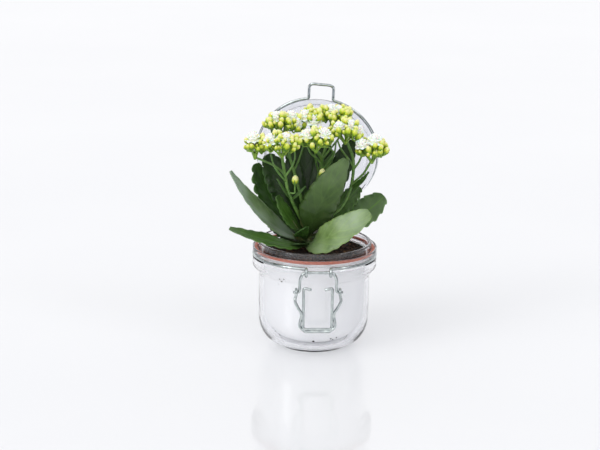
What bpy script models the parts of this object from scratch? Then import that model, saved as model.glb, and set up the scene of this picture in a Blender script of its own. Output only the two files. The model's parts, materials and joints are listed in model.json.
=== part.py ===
"""Flowering kalanchoe planted in a clip-top glass jar, with its lid standing open.

Metres, +Z up. The origin is the centre of the jar's flat base. The latch is at -Y and the lid's hinge at +Y.
Run with: blender --background --python part.py
"""

from math import acos, atan2, cos, degrees, pi, radians, sin, sqrt

import bmesh
import bpy
from mathutils import Matrix, Vector

MM = 0.001
GAP = 0.4 * MM  # clearance between pieces that touch
ROUND_STEPS = 36  # facets round a turned piece
WIRE_SIDES_RESOLUTION = 1  # bevel resolution of a wire: six sides

# Glass jar
JAR_HEIGHT = 84.7 * MM
BODY_RADIUS = 44.1 * MM
GLASS_WALL = 3.0 * MM
GLASS_FLOOR = 5.0 * MM
FOOT_RADIUS = 28.6 * MM
FOOT_HEIGHT = 2.2 * MM
HEEL_HEIGHT = 24.0 * MM
SHOULDER_HEIGHT = 8.4 * MM
SHOULDER_STEP = 5.2 * MM  # how far the shoulder stands out from the body
LIP_HEIGHT = 7.7 * MM
LIP_WALL = 2.2 * MM
BEAD_WALL = 1.1 * MM
BEAD_HEIGHT = 3.4 * MM
FLANGE_THICKNESS = 1.3 * MM
COLLAR_EDGE = 1.6 * MM  # chamfer under the wire's groove
COLLAR_HEIGHT = 6.4 * MM  # straight part between the shoulder and the wire's groove

# Gasket
GASKET_WIDTH = 2.4 * MM
GASKET_THICKNESS = 1.8 * MM

# Wires
BAIL_WIRE_RADIUS = 1.2 * MM  # neck wire and lid wire
LATCH_WIRE_RADIUS = 1.1 * MM
PIVOT_PLAY = 0.4 * MM
EYE_TURN = radians(250)
LATCH_OUT = 4.8 * MM  # the latch's upper pivot, out from the neck wire
EYE_SPACING = 18.8 * MM
LINK_LENGTH = 15.8 * MM
LINK_WIDTH = 28.4 * MM
LEVER_EYE_SPACING = 33.6 * MM
LEVER_LENGTH = 31.8 * MM
LEVER_BULGE_WIDTH = 35.4 * MM
LEVER_WAIST_WIDTH = 24.6 * MM
LEVER_FLARE_WIDTH = 27.4 * MM
LEVER_BAR_WIDTH = 18.8 * MM
HOOK_SPACING = 22.2 * MM
HOOK_RISE = 3.6 * MM  # how far the hooks stand above the lever's pivot
HOOK_REACH = 5.8 * MM
HINGE_BACK = 15.3 * MM  # the hinge bar, out from the neck wire
HINGE_BAR_WIDTH = 23.0 * MM
LID_LEG_SPACING = 15.0 * MM

# Glass lid, standing open
LID_OVERHANG = 0.0 * MM  # the lid past the jar's collar
LID_RING_RISE = 20.6 * MM  # the lid wire above the hinge when the lid is shut
LID_SKIRT = 12.6 * MM
LID_SKIRT_WALL = 5.6 * MM
LID_PANEL = 3.6 * MM
LID_OPEN_ANGLE = radians(75)
LID_TWIST = radians(8.0)  # play in the wire hinge
LID_LEAN = radians(1.6)
LOOP_WIDTH = 19.8 * MM
LOOP_REACH = 13.0 * MM
LOOP_BEND = radians(20)

# Liner and potting soil
LINER_PLAY = 0.6 * MM
LINER_WALL = 1.0 * MM
LINER_BELOW_LIP = 13.7 * MM
SOIL_BELOW_LIP = 8.6 * MM
SOIL_CROWN = 2.2 * MM

# Plant
STEM_X, STEM_Y = -6.0 * MM, 0.0
STEM_RADIUS = 4.0 * MM
STEM_HEIGHT = 18.4 * MM
LEAF_THICKNESS = 2.2 * MM
PETIOLE_WIDTH = 4.4 * MM
STALK_RADIUS = 1.5 * MM
BUD_RADIUS = 2.7 * MM
HEAD_CORE = 0.82  # the solid middle of a flower head, as a share of its half widths
PLACES_FOR_RADIUS = 44.1 * MM  # the body radius that the plant's places are given for

# Worked out from the above
BODY_INSIDE = BODY_RADIUS - GLASS_WALL
COLLAR_RADIUS = BODY_RADIUS + SHOULDER_STEP
LID_RADIUS = COLLAR_RADIUS + LID_OVERHANG
CHANNEL_Z = JAR_HEIGHT - LIP_HEIGHT
GROOVE_TOP = CHANNEL_Z - FLANGE_THICKNESS
NECK_WIRE_Z = GROOVE_TOP - GAP - BAIL_WIRE_RADIUS
GROOVE_BOTTOM = NECK_WIRE_Z - GAP - BAIL_WIRE_RADIUS
COLLAR_Z = GROOVE_BOTTOM - COLLAR_HEIGHT
SHOULDER_Z = COLLAR_Z - SHOULDER_HEIGHT
CHANNEL_OUTSIDE = COLLAR_RADIUS - BEAD_WALL
LIP_OUTSIDE = CHANNEL_OUTSIDE - GASKET_WIDTH - 2 * GAP
NECK_INSIDE = LIP_OUTSIDE - LIP_WALL
NECK_WIRE_RADIUS = COLLAR_RADIUS - BAIL_WIRE_RADIUS + 0.3 * MM
GROOVE_RADIUS = NECK_WIRE_RADIUS - BAIL_WIRE_RADIUS - GAP
LATCH_PIVOT = Vector((0, -NECK_WIRE_RADIUS - LATCH_OUT, NECK_WIRE_Z - BAIL_WIRE_RADIUS))
LEVER_PIVOT = LATCH_PIVOT - Vector((0, 0, LINK_LENGTH))
LID_HINGE = Vector((0, NECK_WIRE_RADIUS + HINGE_BACK, NECK_WIRE_Z))
LID_WIRE_RING = LID_RADIUS + 0.4 * MM
LINER_TOP = JAR_HEIGHT - LINER_BELOW_LIP
SOIL_EDGE_Z = JAR_HEIGHT - SOIL_BELOW_LIP
STEM_Z = SOIL_EDGE_Z + SOIL_CROWN + GAP
PLANT_SPREAD = BODY_RADIUS / PLACES_FOR_RADIUS


# ---------------------------------------------------------------- helpers


def clear_scene():
    for item in list(bpy.data.objects):
        bpy.data.objects.remove(item, do_unlink=True)


def material(name, colour, roughness, metallic=0.0, transmission=0.0):
    made = bpy.data.materials.new(name)
    made.use_nodes = True
    shader = made.node_tree.nodes["Principled BSDF"]
    shader.inputs["Base Color"].default_value = (*colour, 1.0)
    shader.inputs["Roughness"].default_value = roughness
    shader.inputs["Metallic"].default_value = metallic
    shader.inputs["Transmission Weight"].default_value = transmission
    return made


def add_object(name, data, finish):
    item = bpy.data.objects.new(name, data)
    data.materials.append(finish)
    bpy.context.scene.collection.objects.link(item)
    return item


def add_mesh(name, build, finish, matrix=None):
    """Object of the bmesh that build() returns, its normals facing out and its round faces smooth."""
    shape = build()
    bmesh.ops.recalc_face_normals(shape, faces=shape.faces)
    if matrix is not None:
        bmesh.ops.transform(shape, matrix=matrix, verts=shape.verts)
    mesh = bpy.data.meshes.new(name)
    shape.to_mesh(mesh)
    shape.free()
    mesh.shade_smooth()
    mesh.set_sharp_from_angle(angle=radians(40))
    return add_object(name, mesh, finish)


def turned(profile):
    """Solid of revolution about Z from an open profile of (radius, height) that starts and ends on the axis,
    or from a closed one that never reaches it."""
    shape = bmesh.new()
    rows = []
    for radius, height in profile:
        if radius < 1e-6:
            rows.append([shape.verts.new((0, 0, height))])
            continue
        angles = [2 * pi * i / ROUND_STEPS for i in range(ROUND_STEPS)]
        rows.append([shape.verts.new((radius * cos(a), radius * sin(a), height)) for a in angles])
    closed = len(rows[0]) > 1
    pairs = list(zip(rows, rows[1:] + rows[:1])) if closed else list(zip(rows, rows[1:]))
    for low, high in pairs:
        for i in range(ROUND_STEPS):
            j = (i + 1) % ROUND_STEPS
            corners = [low[i % len(low)], low[j % len(low)], high[j % len(high)], high[i % len(high)]]
            kept = list(dict.fromkeys(corners))
            shape.faces.new(kept)
    return shape


def arc(centre_r, centre_z, radius_r, radius_z, start, end, steps):
    """Points of an elliptic arc in a turned profile, angles in degrees from +radius towards +Z."""
    angles = [radians(start + (end - start) * i / steps) for i in range(steps + 1)]
    return [(centre_r + radius_r * cos(a), centre_z + radius_z * sin(a)) for a in angles]


def rounded(points, radius, steps=3):
    """A polyline whose inner corners are replaced by short curves."""
    points = [Vector(p) for p in points]
    made = [points[0]]
    for before, corner, after in zip(points, points[1:], points[2:]):
        to_before, to_after = before - corner, after - corner
        reach = min(radius, 0.48 * to_before.length, 0.48 * to_after.length)
        start = corner + to_before.normalized() * reach
        end = corner + to_after.normalized() * reach
        for i in range(steps + 1):
            t = i / steps
            made.append((1 - t) ** 2 * start + 2 * t * (1 - t) * corner + t**2 * end)
    made.append(points[-1])
    return made


def smooth_path(points, steps):
    """Catmull-Rom curve through the points, with this many pieces between each two."""
    points = [Vector(p) for p in points]
    ends = [2 * points[0] - points[1], *points, 2 * points[-1] - points[-2]]
    made = []
    for a, b, c, d in zip(ends, ends[1:], ends[2:], ends[3:]):
        for i in range(steps):
            t = i / steps
            made.append(
                0.5 * (2 * b + (c - a) * t + (2 * a - 5 * b + 4 * c - d) * t**2 + (3 * b - a - 3 * c + d) * t**3)
            )
    made.append(points[-1])
    return made


def eye(pivot, x, ring_radius, target):
    """Open wire curl about an X axis through the pivot, that leaves it in a straight line to the target."""
    to_target = Vector((0, target[1] - pivot.y, target[2] - pivot.z))
    bearing = atan2(to_target.z, to_target.y)
    leave = bearing - acos(ring_radius / to_target.length)
    steps = 12
    angles = [leave - EYE_TURN + EYE_TURN * i / steps for i in range(steps + 1)]
    return [Vector((x, pivot.y + ring_radius * cos(a), pivot.z + ring_radius * sin(a))) for a in angles]


def tube(name, points, radius, finish, taper=None):
    """Wire or stalk: a curve with a round bevel and filled ends. taper gives each point's share of the radius."""
    curve = bpy.data.curves.new(name, "CURVE")
    curve.dimensions = "3D"
    curve.bevel_depth = radius
    curve.bevel_resolution = WIRE_SIDES_RESOLUTION
    curve.use_fill_caps = True
    curve.twist_mode = "MINIMUM"
    spline = curve.splines.new("POLY")
    spline.points.add(len(points) - 1)
    for i, (knot, place) in enumerate(zip(spline.points, points)):
        knot.co = (*place, 1.0)
        knot.radius = taper(i / (len(points) - 1)) if taper else 1.0
    return add_object(name, curve, finish)


def as_mesh(item):
    """The same piece as a mesh, its end caps joined to its sides, so that it can take a modifier."""
    evaluated = item.evaluated_get(bpy.context.evaluated_depsgraph_get())
    mesh = bpy.data.meshes.new_from_object(evaluated)
    shape = bmesh.new()
    shape.from_mesh(mesh)
    bmesh.ops.remove_doubles(shape, verts=shape.verts, dist=0.001 * MM)
    shape.to_mesh(mesh)
    shape.free()
    name, finish = item.name, item.data.materials[0]
    bpy.data.objects.remove(item, do_unlink=True)
    mesh.materials.clear()
    return add_object(name, mesh, finish)


def pivot_empty(name, place):
    """Empty on a joint's axis, for the pieces that turn about it."""
    item = bpy.data.objects.new(name, None)
    item.location = place
    bpy.context.scene.collection.objects.link(item)
    return item


def hang_on(item, pivot):
    """Parents an item to a pivot and leaves it where it is."""
    item.parent = pivot
    item.matrix_parent_inverse = Matrix.Translation(-pivot.location)
    return item


def union_with(item, helper):
    """Welds the helper's shape to the item's. The helper stays as a hidden guide."""
    helper.hide_render = True
    helper.display_type = "WIRE"
    weld = item.modifiers.new("weld", "BOOLEAN")
    weld.operation = "UNION"
    weld.object = helper
    return item


# ---------------------------------------------------------------- jar


def jar_profile():
    heel_reach = BODY_RADIUS - FOOT_RADIUS - 1.0 * MM
    outside = [(0, 0), (FOOT_RADIUS - 0.6 * MM, 0), (FOOT_RADIUS, 0.6 * MM), (FOOT_RADIUS, FOOT_HEIGHT)]
    outside += arc(BODY_RADIUS - heel_reach, HEEL_HEIGHT, heel_reach, HEEL_HEIGHT - FOOT_HEIGHT, -90, 0, 6)
    outside += [(BODY_RADIUS, SHOULDER_Z)]
    for i in range(1, 5):
        t = i / 4
        rise = t * t * (3 - 2 * t)
        outside.append((BODY_RADIUS + SHOULDER_STEP * rise, SHOULDER_Z + SHOULDER_HEIGHT * t))
    outside += [
        (COLLAR_RADIUS, GROOVE_BOTTOM - COLLAR_EDGE / 2),
        (COLLAR_RADIUS - COLLAR_EDGE, GROOVE_BOTTOM),
        (GROOVE_RADIUS, GROOVE_BOTTOM),
        (GROOVE_RADIUS, GROOVE_TOP),
        (COLLAR_RADIUS - 0.6 * MM, GROOVE_TOP),
        (COLLAR_RADIUS, GROOVE_TOP + 0.6 * MM),
        (COLLAR_RADIUS, CHANNEL_Z + BEAD_HEIGHT - 0.4 * MM),
        (COLLAR_RADIUS - BEAD_WALL / 2, CHANNEL_Z + BEAD_HEIGHT),
        (CHANNEL_OUTSIDE, CHANNEL_Z + BEAD_HEIGHT - 0.4 * MM),
        (CHANNEL_OUTSIDE, CHANNEL_Z),
        (LIP_OUTSIDE, CHANNEL_Z),
    ]
    lip_middle = (LIP_OUTSIDE + NECK_INSIDE) / 2
    outside += arc(lip_middle, JAR_HEIGHT - LIP_WALL / 2, LIP_WALL / 2, LIP_WALL / 2, 0, 180, 4)
    inner_heel = BODY_INSIDE - FOOT_RADIUS + GLASS_WALL / 2
    inside = [(NECK_INSIDE, COLLAR_Z), (BODY_INSIDE, SHOULDER_Z)]
    inside += arc(BODY_INSIDE - inner_heel, HEEL_HEIGHT, inner_heel, HEEL_HEIGHT - GLASS_FLOOR, 0, -90, 6)
    return outside + inside + [(0, GLASS_FLOOR)]


def glass_jar(finish):
    add_mesh("glass_jar", lambda: turned(jar_profile()), finish)


def rubber_gasket(finish):
    inner = LIP_OUTSIDE + GAP
    outer = inner + GASKET_WIDTH
    low = CHANNEL_Z + GAP
    high = low + GASKET_THICKNESS
    edge = 0.5 * MM
    profile = [(outer, high - edge), (outer, low), (inner, low), (inner, high - edge)]
    profile += [(inner + edge, high), (outer - edge, high)]
    add_mesh("rubber_gasket", lambda: turned(profile), finish)


def inner_pot(finish):
    outer_heel = BODY_INSIDE - FOOT_RADIUS + GLASS_WALL / 2
    centre = BODY_INSIDE - outer_heel
    base = GLASS_FLOOR + LINER_PLAY
    outer_r, inner_r = outer_heel - LINER_PLAY, outer_heel - LINER_PLAY - LINER_WALL
    outer_z = HEEL_HEIGHT - base
    top = LINER_TOP
    profile = [(0, base)] + arc(centre, HEEL_HEIGHT, outer_r, outer_z, -90, 0, 5)
    profile += [(centre + outer_r, top), (centre + inner_r, top)]
    profile += arc(centre, HEEL_HEIGHT, inner_r, outer_z - LINER_WALL, 0, -90, 5)
    add_mesh("inner_pot", lambda: turned(profile + [(0, base + LINER_WALL)]), finish)


def soil_height(radius):
    share = radius / (NECK_INSIDE - GAP)
    return SOIL_EDGE_Z + SOIL_CROWN * (1 - share**2)


def potting_soil(finish):
    outer_heel = BODY_INSIDE - FOOT_RADIUS + GLASS_WALL / 2
    centre = BODY_INSIDE - outer_heel
    play = LINER_PLAY + LINER_WALL + GAP
    base = GLASS_FLOOR + play
    rim = LINER_TOP + GAP
    profile = [(0, base)] + arc(centre, HEEL_HEIGHT, outer_heel - play, HEEL_HEIGHT - base, -90, 0, 5)
    profile += [(BODY_INSIDE - play, rim), (NECK_INSIDE - GAP, rim)]
    for share in (1.0, 0.8, 0.5, 0.25):
        radius = share * (NECK_INSIDE - GAP)
        profile.append((radius, soil_height(radius)))
    add_mesh("potting_soil", lambda: turned(profile + [(0, soil_height(0))]), finish)


# ---------------------------------------------------------------- wires


def ring_points(radius, z, start, end, steps):
    angles = [radians(start + (end - start) * i / steps) for i in range(steps + 1)]
    return [Vector((radius * cos(a), radius * sin(a), z)) for a in angles]


def neck_wire(finish):
    """One wire: eye, half ring, hinge bar, half ring, eye."""
    eye_x, bar_x = EYE_SPACING / 2, HINGE_BAR_WIDTH / 2
    ring_radius = BAIL_WIRE_RADIUS + LATCH_WIRE_RADIUS + PIVOT_PLAY
    front = acos(eye_x / NECK_WIRE_RADIUS)
    back = acos(bar_x / NECK_WIRE_RADIUS)
    half = ring_points(NECK_WIRE_RADIUS, NECK_WIRE_Z, -degrees(front), degrees(back), 20)
    curl = eye(LATCH_PIVOT, eye_x, ring_radius, half[0])
    bend = rounded([*curl[-1:], half[0], half[1]], 1.6 * MM)
    corner = Vector((bar_x, LID_HINGE.y, NECK_WIRE_Z))
    turn = rounded([half[-2], half[-1], corner, Vector((0, corner.y, corner.z))], 2.4 * MM)
    right = curl[:-1] + bend[:-1] + half[2:-2] + turn
    left = [Vector((-p.x, p.y, p.z)) for p in reversed(right[:-1])]
    tube("neck_wire", right + left, BAIL_WIRE_RADIUS, finish)


def latch_link(finish):
    top = LATCH_PIVOT
    leg_x = LINK_WIDTH / 2
    pin_x = LEVER_EYE_SPACING / 2 + LATCH_WIRE_RADIUS + GAP + 0.8 * MM
    side = [
        Vector((pin_x, top.y, LEVER_PIVOT.z)),
        Vector((leg_x, top.y, LEVER_PIVOT.z)),
        Vector((leg_x, top.y, top.z - 5.4 * MM)),
        Vector((leg_x - 2.6 * MM, top.y, top.z)),
        Vector((0, top.y, top.z)),
    ]
    other = [Vector((-p.x, p.y, p.z)) for p in reversed(side[:-1])]
    return tube("latch_link", rounded(side + other, 2.6 * MM), LATCH_WIRE_RADIUS, finish)


def latch_lever(finish):
    """Outer lyre-shaped wire whose eyes turn on the link's pins, and an inner hook wire welded to its foot."""
    pivot = LEVER_PIVOT
    ring_radius = 2 * LATCH_WIRE_RADIUS + PIVOT_PLAY
    foot_z = pivot.z - LEVER_LENGTH
    eye_x = LEVER_EYE_SPACING / 2
    below = Vector((eye_x, pivot.y + ring_radius, pivot.z - 3 * ring_radius))
    curl = eye(pivot, eye_x, ring_radius, below)
    side = [
        Vector((LEVER_BULGE_WIDTH / 2, pivot.y - 1.8 * MM, pivot.z - 0.17 * LEVER_LENGTH)),
        Vector((LEVER_WAIST_WIDTH / 2, pivot.y, pivot.z - 0.54 * LEVER_LENGTH)),
        Vector((LEVER_FLARE_WIDTH / 2, pivot.y + 0.4 * MM, pivot.z - 0.8 * LEVER_LENGTH)),
        Vector((0.92 * LEVER_FLARE_WIDTH / 2, pivot.y + 0.4 * MM, foot_z + 2.6 * MM)),
        Vector((LEVER_BAR_WIDTH / 2, pivot.y + 0.4 * MM, foot_z)),
    ]
    leg = smooth_path([curl[-1], *side], 3)
    right = curl[:-1] + leg
    left = [Vector((-p.x, p.y, p.z)) for p in reversed(right)]
    lever = tube("latch_lever", right + left, LATCH_WIRE_RADIUS, finish)

    hook_x = HOOK_SPACING / 2
    bar_z = foot_z + 1.8 * LATCH_WIRE_RADIUS
    hook = [
        Vector((hook_x - HOOK_REACH, pivot.y - 1.6 * MM, pivot.z + HOOK_RISE - 1.2 * MM)),
        Vector((hook_x, pivot.y + 0.4 * MM, pivot.z + HOOK_RISE)),
        Vector((hook_x, pivot.y + 0.4 * MM, bar_z)),
        Vector((0, pivot.y + 0.4 * MM, bar_z)),
    ]
    other = [Vector((-p.x, p.y, p.z)) for p in reversed(hook[:-1])]
    inner = tube("lever_hooks", rounded(hook + other, 2.2 * MM), LATCH_WIRE_RADIUS, finish)
    return union_with(as_mesh(lever), as_mesh(inner))


# ---------------------------------------------------------------- lid


def lid_matrix():
    """Takes the lid from shut, about its hinge, to where it stands open."""
    turn = (
        Matrix.Rotation(-LID_OPEN_ANGLE, 4, "X")
        @ Matrix.Rotation(LID_TWIST, 4, "Y")
        @ Matrix.Rotation(LID_LEAN, 4, "Z")
    )
    shut = Vector((0, -LID_HINGE.y, LID_RING_RISE))
    return Matrix.Translation(LID_HINGE) @ turn @ Matrix.Translation(shut)


def lid_profile():
    """Shut lid about its own axis, with the wire's groove at height 0."""
    groove = LID_WIRE_RING - BAIL_WIRE_RADIUS - GAP
    groove_half = BAIL_WIRE_RADIUS + GAP
    seal = LID_RADIUS - 1.6 * MM
    inner = seal - LID_SKIRT_WALL
    panel_low = -groove_half - 0.6 * MM
    panel_high = panel_low + LID_PANEL
    return [
        (0, panel_high - 1.2 * MM),
        (18 * MM, panel_high - 0.9 * MM),
        (inner - 4 * MM, panel_high),
        (inner + 1 * MM, groove_half + 1.2 * MM),
        (groove - 1.2 * MM, groove_half + 1.0 * MM),
        (groove, groove_half),
        (groove, -groove_half),
        (LID_RADIUS - 0.5 * MM, -groove_half),
        (LID_RADIUS, -groove_half - 0.6 * MM),
        (LID_RADIUS, -groove_half - 2.6 * MM),
        (seal, -LID_SKIRT + 1.0 * MM),
        (seal - 1.0 * MM, -LID_SKIRT),
        (inner + 0.8 * MM, -LID_SKIRT),
        (inner, -LID_SKIRT + 0.8 * MM),
        (inner - 0.8 * MM, panel_low - 1.6 * MM),
        (inner - 3.0 * MM, panel_low),
        (26 * MM, panel_low),
        (24.5 * MM, panel_low - 1.4 * MM),
        (23 * MM, panel_low),
        (0, panel_low - 0.3 * MM),
    ]


def glass_lid(finish):
    return add_mesh("glass_lid", lambda: turned(list(reversed(lid_profile()))), finish, lid_matrix())


def lid_wire(finish):
    """One wire: hinge curl, half ring with the catch loop between, half ring, hinge curl."""
    place = lid_matrix()
    leg_x, loop_x = LID_LEG_SPACING / 2, LOOP_WIDTH / 2
    back = degrees(acos(leg_x / LID_WIRE_RING))
    front = degrees(acos(loop_x / LID_WIRE_RING))
    ring_radius = 2 * BAIL_WIRE_RADIUS + PIVOT_PLAY

    def side(sign):
        half = [Vector((sign * p.x, p.y, 0)) for p in ring_points(LID_WIRE_RING, 0, back, -front, 20)]
        tip = half[-1] + Vector((0, -3 * MM, 0))
        far = tip + LOOP_REACH * Vector((0, -cos(LOOP_BEND), -sin(LOOP_BEND)))
        loop = rounded([half[-2], half[-1], tip, far, Vector((0, far.y, far.z))], 2.4 * MM)
        ring = [place @ p for p in half[1:-2] + loop]
        start = place @ half[0]
        curl = eye(LID_HINGE, sign * leg_x, ring_radius, start)
        leg = rounded([curl[-1], start, ring[0]], 2.0 * MM)
        return curl[:-1] + leg[:-1] + ring

    right, left = side(1), side(-1)
    return tube("lid_wire", right[:-1] + list(reversed(left)), BAIL_WIRE_RADIUS, finish)


# ---------------------------------------------------------------- plant


def planted(point):
    """A place on the plant: millimetres across from the jar's axis, and up from the stem's foot."""
    return Vector((point[0] * PLANT_SPREAD * MM, point[1] * PLANT_SPREAD * MM, STEM_Z + point[2] * MM))


def stem_point(angle, rise, out):
    """Point beside the main stem: degrees round it from +X, height above its foot, distance from its axis."""
    return Vector((STEM_X + out * cos(radians(angle)), STEM_Y + out * sin(radians(angle)), STEM_Z + rise))


def main_stem(finish):
    points = [Vector((STEM_X, STEM_Y, STEM_Z + STEM_HEIGHT * i / 4)) for i in range(5)]
    tube("main_stem", points, STEM_RADIUS, finish, lambda t: 1.0 - 0.12 * t)


def leaf_share(t, widest, point):
    """Half width of a leaf along its length, as a share of its widest; point is 0.5 for a round tip, 1 for a sharp one."""
    if t < widest:
        s = min(max((t - 0.04) / (widest - 0.06), 0.0), 1.0)
        return s * s * (3 - 2 * s)
    return max(1 - ((t - widest) / (1 - widest)) ** 2.2, 0.0) ** point


def leaf_shape(base, bend, tip, width, face, cup, widest, point):
    """Blade lofted along a curve from base to tip. face is roughly where its upper side looks; cup lifts its edges."""
    shape = bmesh.new()
    stations = 10
    across = (-1.0, -0.5, 0.0, 0.5, 1.0, 0.5, 0.0, -0.5)
    rings = []
    for i in range(stations):
        t = 1 - (1 - i / stations) ** 1.3
        middle = (1 - t) ** 2 * base + 2 * t * (1 - t) * bend + t**2 * tip
        along = (2 * (1 - t) * (bend - base) + 2 * t * (tip - bend)).normalized()
        side = along.cross(face).normalized()
        upper = side.cross(along)
        half = PETIOLE_WIDTH / 2 + (width - PETIOLE_WIDTH) / 2 * leaf_share(t, widest, point)
        thick = LEAF_THICKNESS * (1.0 - 0.3 * t)
        ring = []
        for k, u in enumerate(across):
            skin = 0.5 * thick * (1 - 0.75 * u * u)
            lift = cup * half * abs(u) ** 1.6 + (skin if 0 < k < 4 else -skin if k > 4 else 0)
            ring.append(shape.verts.new(middle + side * (u * half) + upper * lift))
        rings.append(ring)
    end = shape.verts.new(tip)
    for low, high in zip(rings, rings[1:]):
        for k in range(8):
            j = (k + 1) % 8
            shape.faces.new((low[k], low[j], high[j], high[k]))
    for k in range(8):
        shape.faces.new((rings[-1][k], rings[-1][(k + 1) % 8], end))
    shape.faces.new(rings[0])
    return shape


# Each leaf: angle round the stem and rise up it, then its bend and its tip, its width, its facing, its cupping,
# where along it it is widest, and how pointed its tip is.
LEAVES = {
    "leaf_low_left": (215, 2.0, (-24, -40, 8.5), (-69, -30, 22.8), 20, (0.1, -0.25, 1), 0.15, 0.5, 0.8),
    "leaf_front_low": (232, 6.6, (-15, -19, 14.5), (-9, -28, 23.5), 12, (-0.2, -0.1, 1), 0.10, 0.6, 0.6),
    "leaf_rear_right": (50, 2.0, (20, 28, 13.3), (36, 38, 25.3), 20, (-0.3, -0.4, 1), 0.15, 0.6, 0.5),
    "leaf_rear_left": (130, 2.0, (-26, 28, 13.3), (-40, 36, 25.3), 20, (0.3, -0.4, 1), 0.15, 0.6, 0.5),
    "leaf_front_right": (285, 4.4, (-9, -45, 6.5), (39.5, -40, 38.8), 24, (-0.25, -0.75, 0.6), 0.12, 0.62, 0.55),
    "leaf_rear": (90, 5.4, (-3, 36, 13.3), (0, 50, 27.3), 22, (0, -0.6, 1), 0.15, 0.6, 0.5),
    "leaf_long_left": (188, 5.4, (-43, -8, 15.5), (-68, -9, 63.3), 24, (0.75, -0.32, 0.6), 0.30, 0.45, 0.95),
    "leaf_right": (8, 8.8, (31, 9, 12.8), (57.5, 8, 39.5), 28, (-0.35, -0.6, 0.7), 0.15, 0.6, 0.5),
    "leaf_back_left_outer": (160, 8.8, (-38, 17, 25.3), (-47, 20, 63.3), 23, (0.6, -0.75, 0.3), 0.15, 0.55, 0.6),
    "leaf_front_upright": (268, 8.8, (-5.5, -27, 31.3), (21.5, -25, 77.3), 28, (0.1, 1.0, 0.3), 0.20, 0.46, 0.8),
    "leaf_right_inner": (30, 12.2, (21, 15, 25.3), (36, 18, 45.3), 17, (-0.4, -0.8, 0.4), 0.12, 0.6, 0.6),
    "leaf_inner_left": (205, 12.2, (-21, -9, 20.3), (-31, -7, 43.3), 15, (0.6, -0.5, 0.5), 0.15, 0.55, 0.7),
    "leaf_back_left_inner": (148, 12.2, (-24, 13, 41.3), (-39, 11, 72.3), 26, (0.35, -0.9, 0.3), 0.15, 0.55, 0.65),
    "leaf_narrow_right": (332, 12.2, (12, -9, 33.3), (25, -11, 73.3), 13, (-0.9, -0.2, 0.4), 0.20, 0.5, 0.8),
    "leaf_back_center": (105, 15.6, (-9, 22, 37.3), (-7, 25, 80.3), 28, (0.1, -0.95, 0.25), 0.12, 0.6, 0.55),
    "leaf_back_right_tall": (55, 15.6, (14, 20, 41.3), (30, 22, 82.3), 20, (-0.3, -0.9, 0.2), 0.12, 0.55, 0.7),
}


def leaves(finish):
    for name, (angle, rise, bend, tip, width, face, cup, widest, point) in LEAVES.items():
        base = stem_point(angle, rise * MM, STEM_RADIUS + GAP + LEAF_THICKNESS / 2)
        points = (base, planted(bend), planted(tip))
        facing = Vector(face).normalized()
        add_mesh(name, lambda: leaf_shape(*points, width * MM, facing, cup, widest, point), finish)


# Each flower head: centre, half widths, number of buds.
FLOWER_HEADS = {
    "flowers_left_front": ((-28, -20, 87.3), (14.0, 11.0, 9.5), 15),
    "flowers_far_left": ((-48.5, -8, 83.3), (8.0, 8.5, 9.5), 8),
    "flowers_back_left": ((-26, 9, 99.3), (14.5, 11.0, 9.5), 14),
    "flowers_top": ((-3.6, 13, 102.8), (7.8, 8.0, 7.6), 7),
    "flowers_back_right": ((12.5, 18, 105.3), (10.5, 9.5, 8.5), 11),
    "flowers_center": ((-1.5, -14, 89.3), (12.4, 10.5, 8.6), 13),
    "flowers_right_center": ((22.5, 1, 93.3), (13.0, 10.0, 9.0), 13),
    "flowers_right": ((43.5, -4, 79.8), (12.0, 10.5, 9.5), 14),
}


def bud_directions(count):
    """Evenly spread directions over the upper part of a sphere."""
    golden = pi * (3 - sqrt(5))
    found = []
    for i in range(count):
        z = 1.0 - 1.25 * (i + 0.5) / count
        ring = sqrt(1 - z * z)
        found.append(Vector((ring * cos(golden * i), ring * sin(golden * i), z)))
    return found


def flower_head_shape(centre, half, count):
    """Closed knobbly dome: the outline, seen from its centre, of round buds that stand on a core."""
    scale = Vector(half)
    buds = [Vector((d.x * scale.x, d.y * scale.y, d.z * scale.z)) for d in bud_directions(count)]
    buds = [b * (1 - BUD_RADIUS / b.length) for b in buds]

    def reach(direction):
        core = HEAD_CORE / sqrt(sum((direction[i] / scale[i]) ** 2 for i in range(3)))
        best = core
        for bud in buds:
            along = bud.dot(direction)
            spare = BUD_RADIUS**2 - (bud.length_squared - along**2)
            if along > 0 and spare > 0:
                best = max(best, along + sqrt(spare))
        return best

    shape = bmesh.new()
    rows, columns = 9, 18
    top = shape.verts.new(centre + Vector((0, 0, reach(Vector((0, 0, 1))))))
    low = shape.verts.new(centre - Vector((0, 0, reach(Vector((0, 0, -1))))))
    rings = []
    for i in range(1, rows):
        ring = []
        for j in range(columns):
            polar, turn = pi * i / rows, 2 * pi * j / columns
            d = Vector((sin(polar) * cos(turn), sin(polar) * sin(turn), cos(polar)))
            ring.append(shape.verts.new(centre + d * reach(d)))
        rings.append(ring)
    for j in range(columns):
        k = (j + 1) % columns
        shape.faces.new((top, rings[0][j], rings[0][k]))
        shape.faces.new((low, rings[-1][k], rings[-1][j]))
        for high, below in zip(rings, rings[1:]):
            shape.faces.new((high[j], below[j], below[k], high[k]))
    return shape


def flower_heads(finish):
    for name, (centre, half, count) in FLOWER_HEADS.items():
        place = planted(centre)
        size = (half[0] * MM * PLANT_SPREAD, half[1] * MM * PLANT_SPREAD, half[2] * MM)
        add_mesh(name, lambda: flower_head_shape(place, size, count), finish)


def head_foot(name, offset=(0, 0)):
    """Where a stalk meets the underside of a flower head."""
    centre, half, _ = FLOWER_HEADS[name]
    core = HEAD_CORE * half[2]
    return (centre[0] + offset[0], centre[1] + offset[1], centre[2] - core - 1.2)


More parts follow.
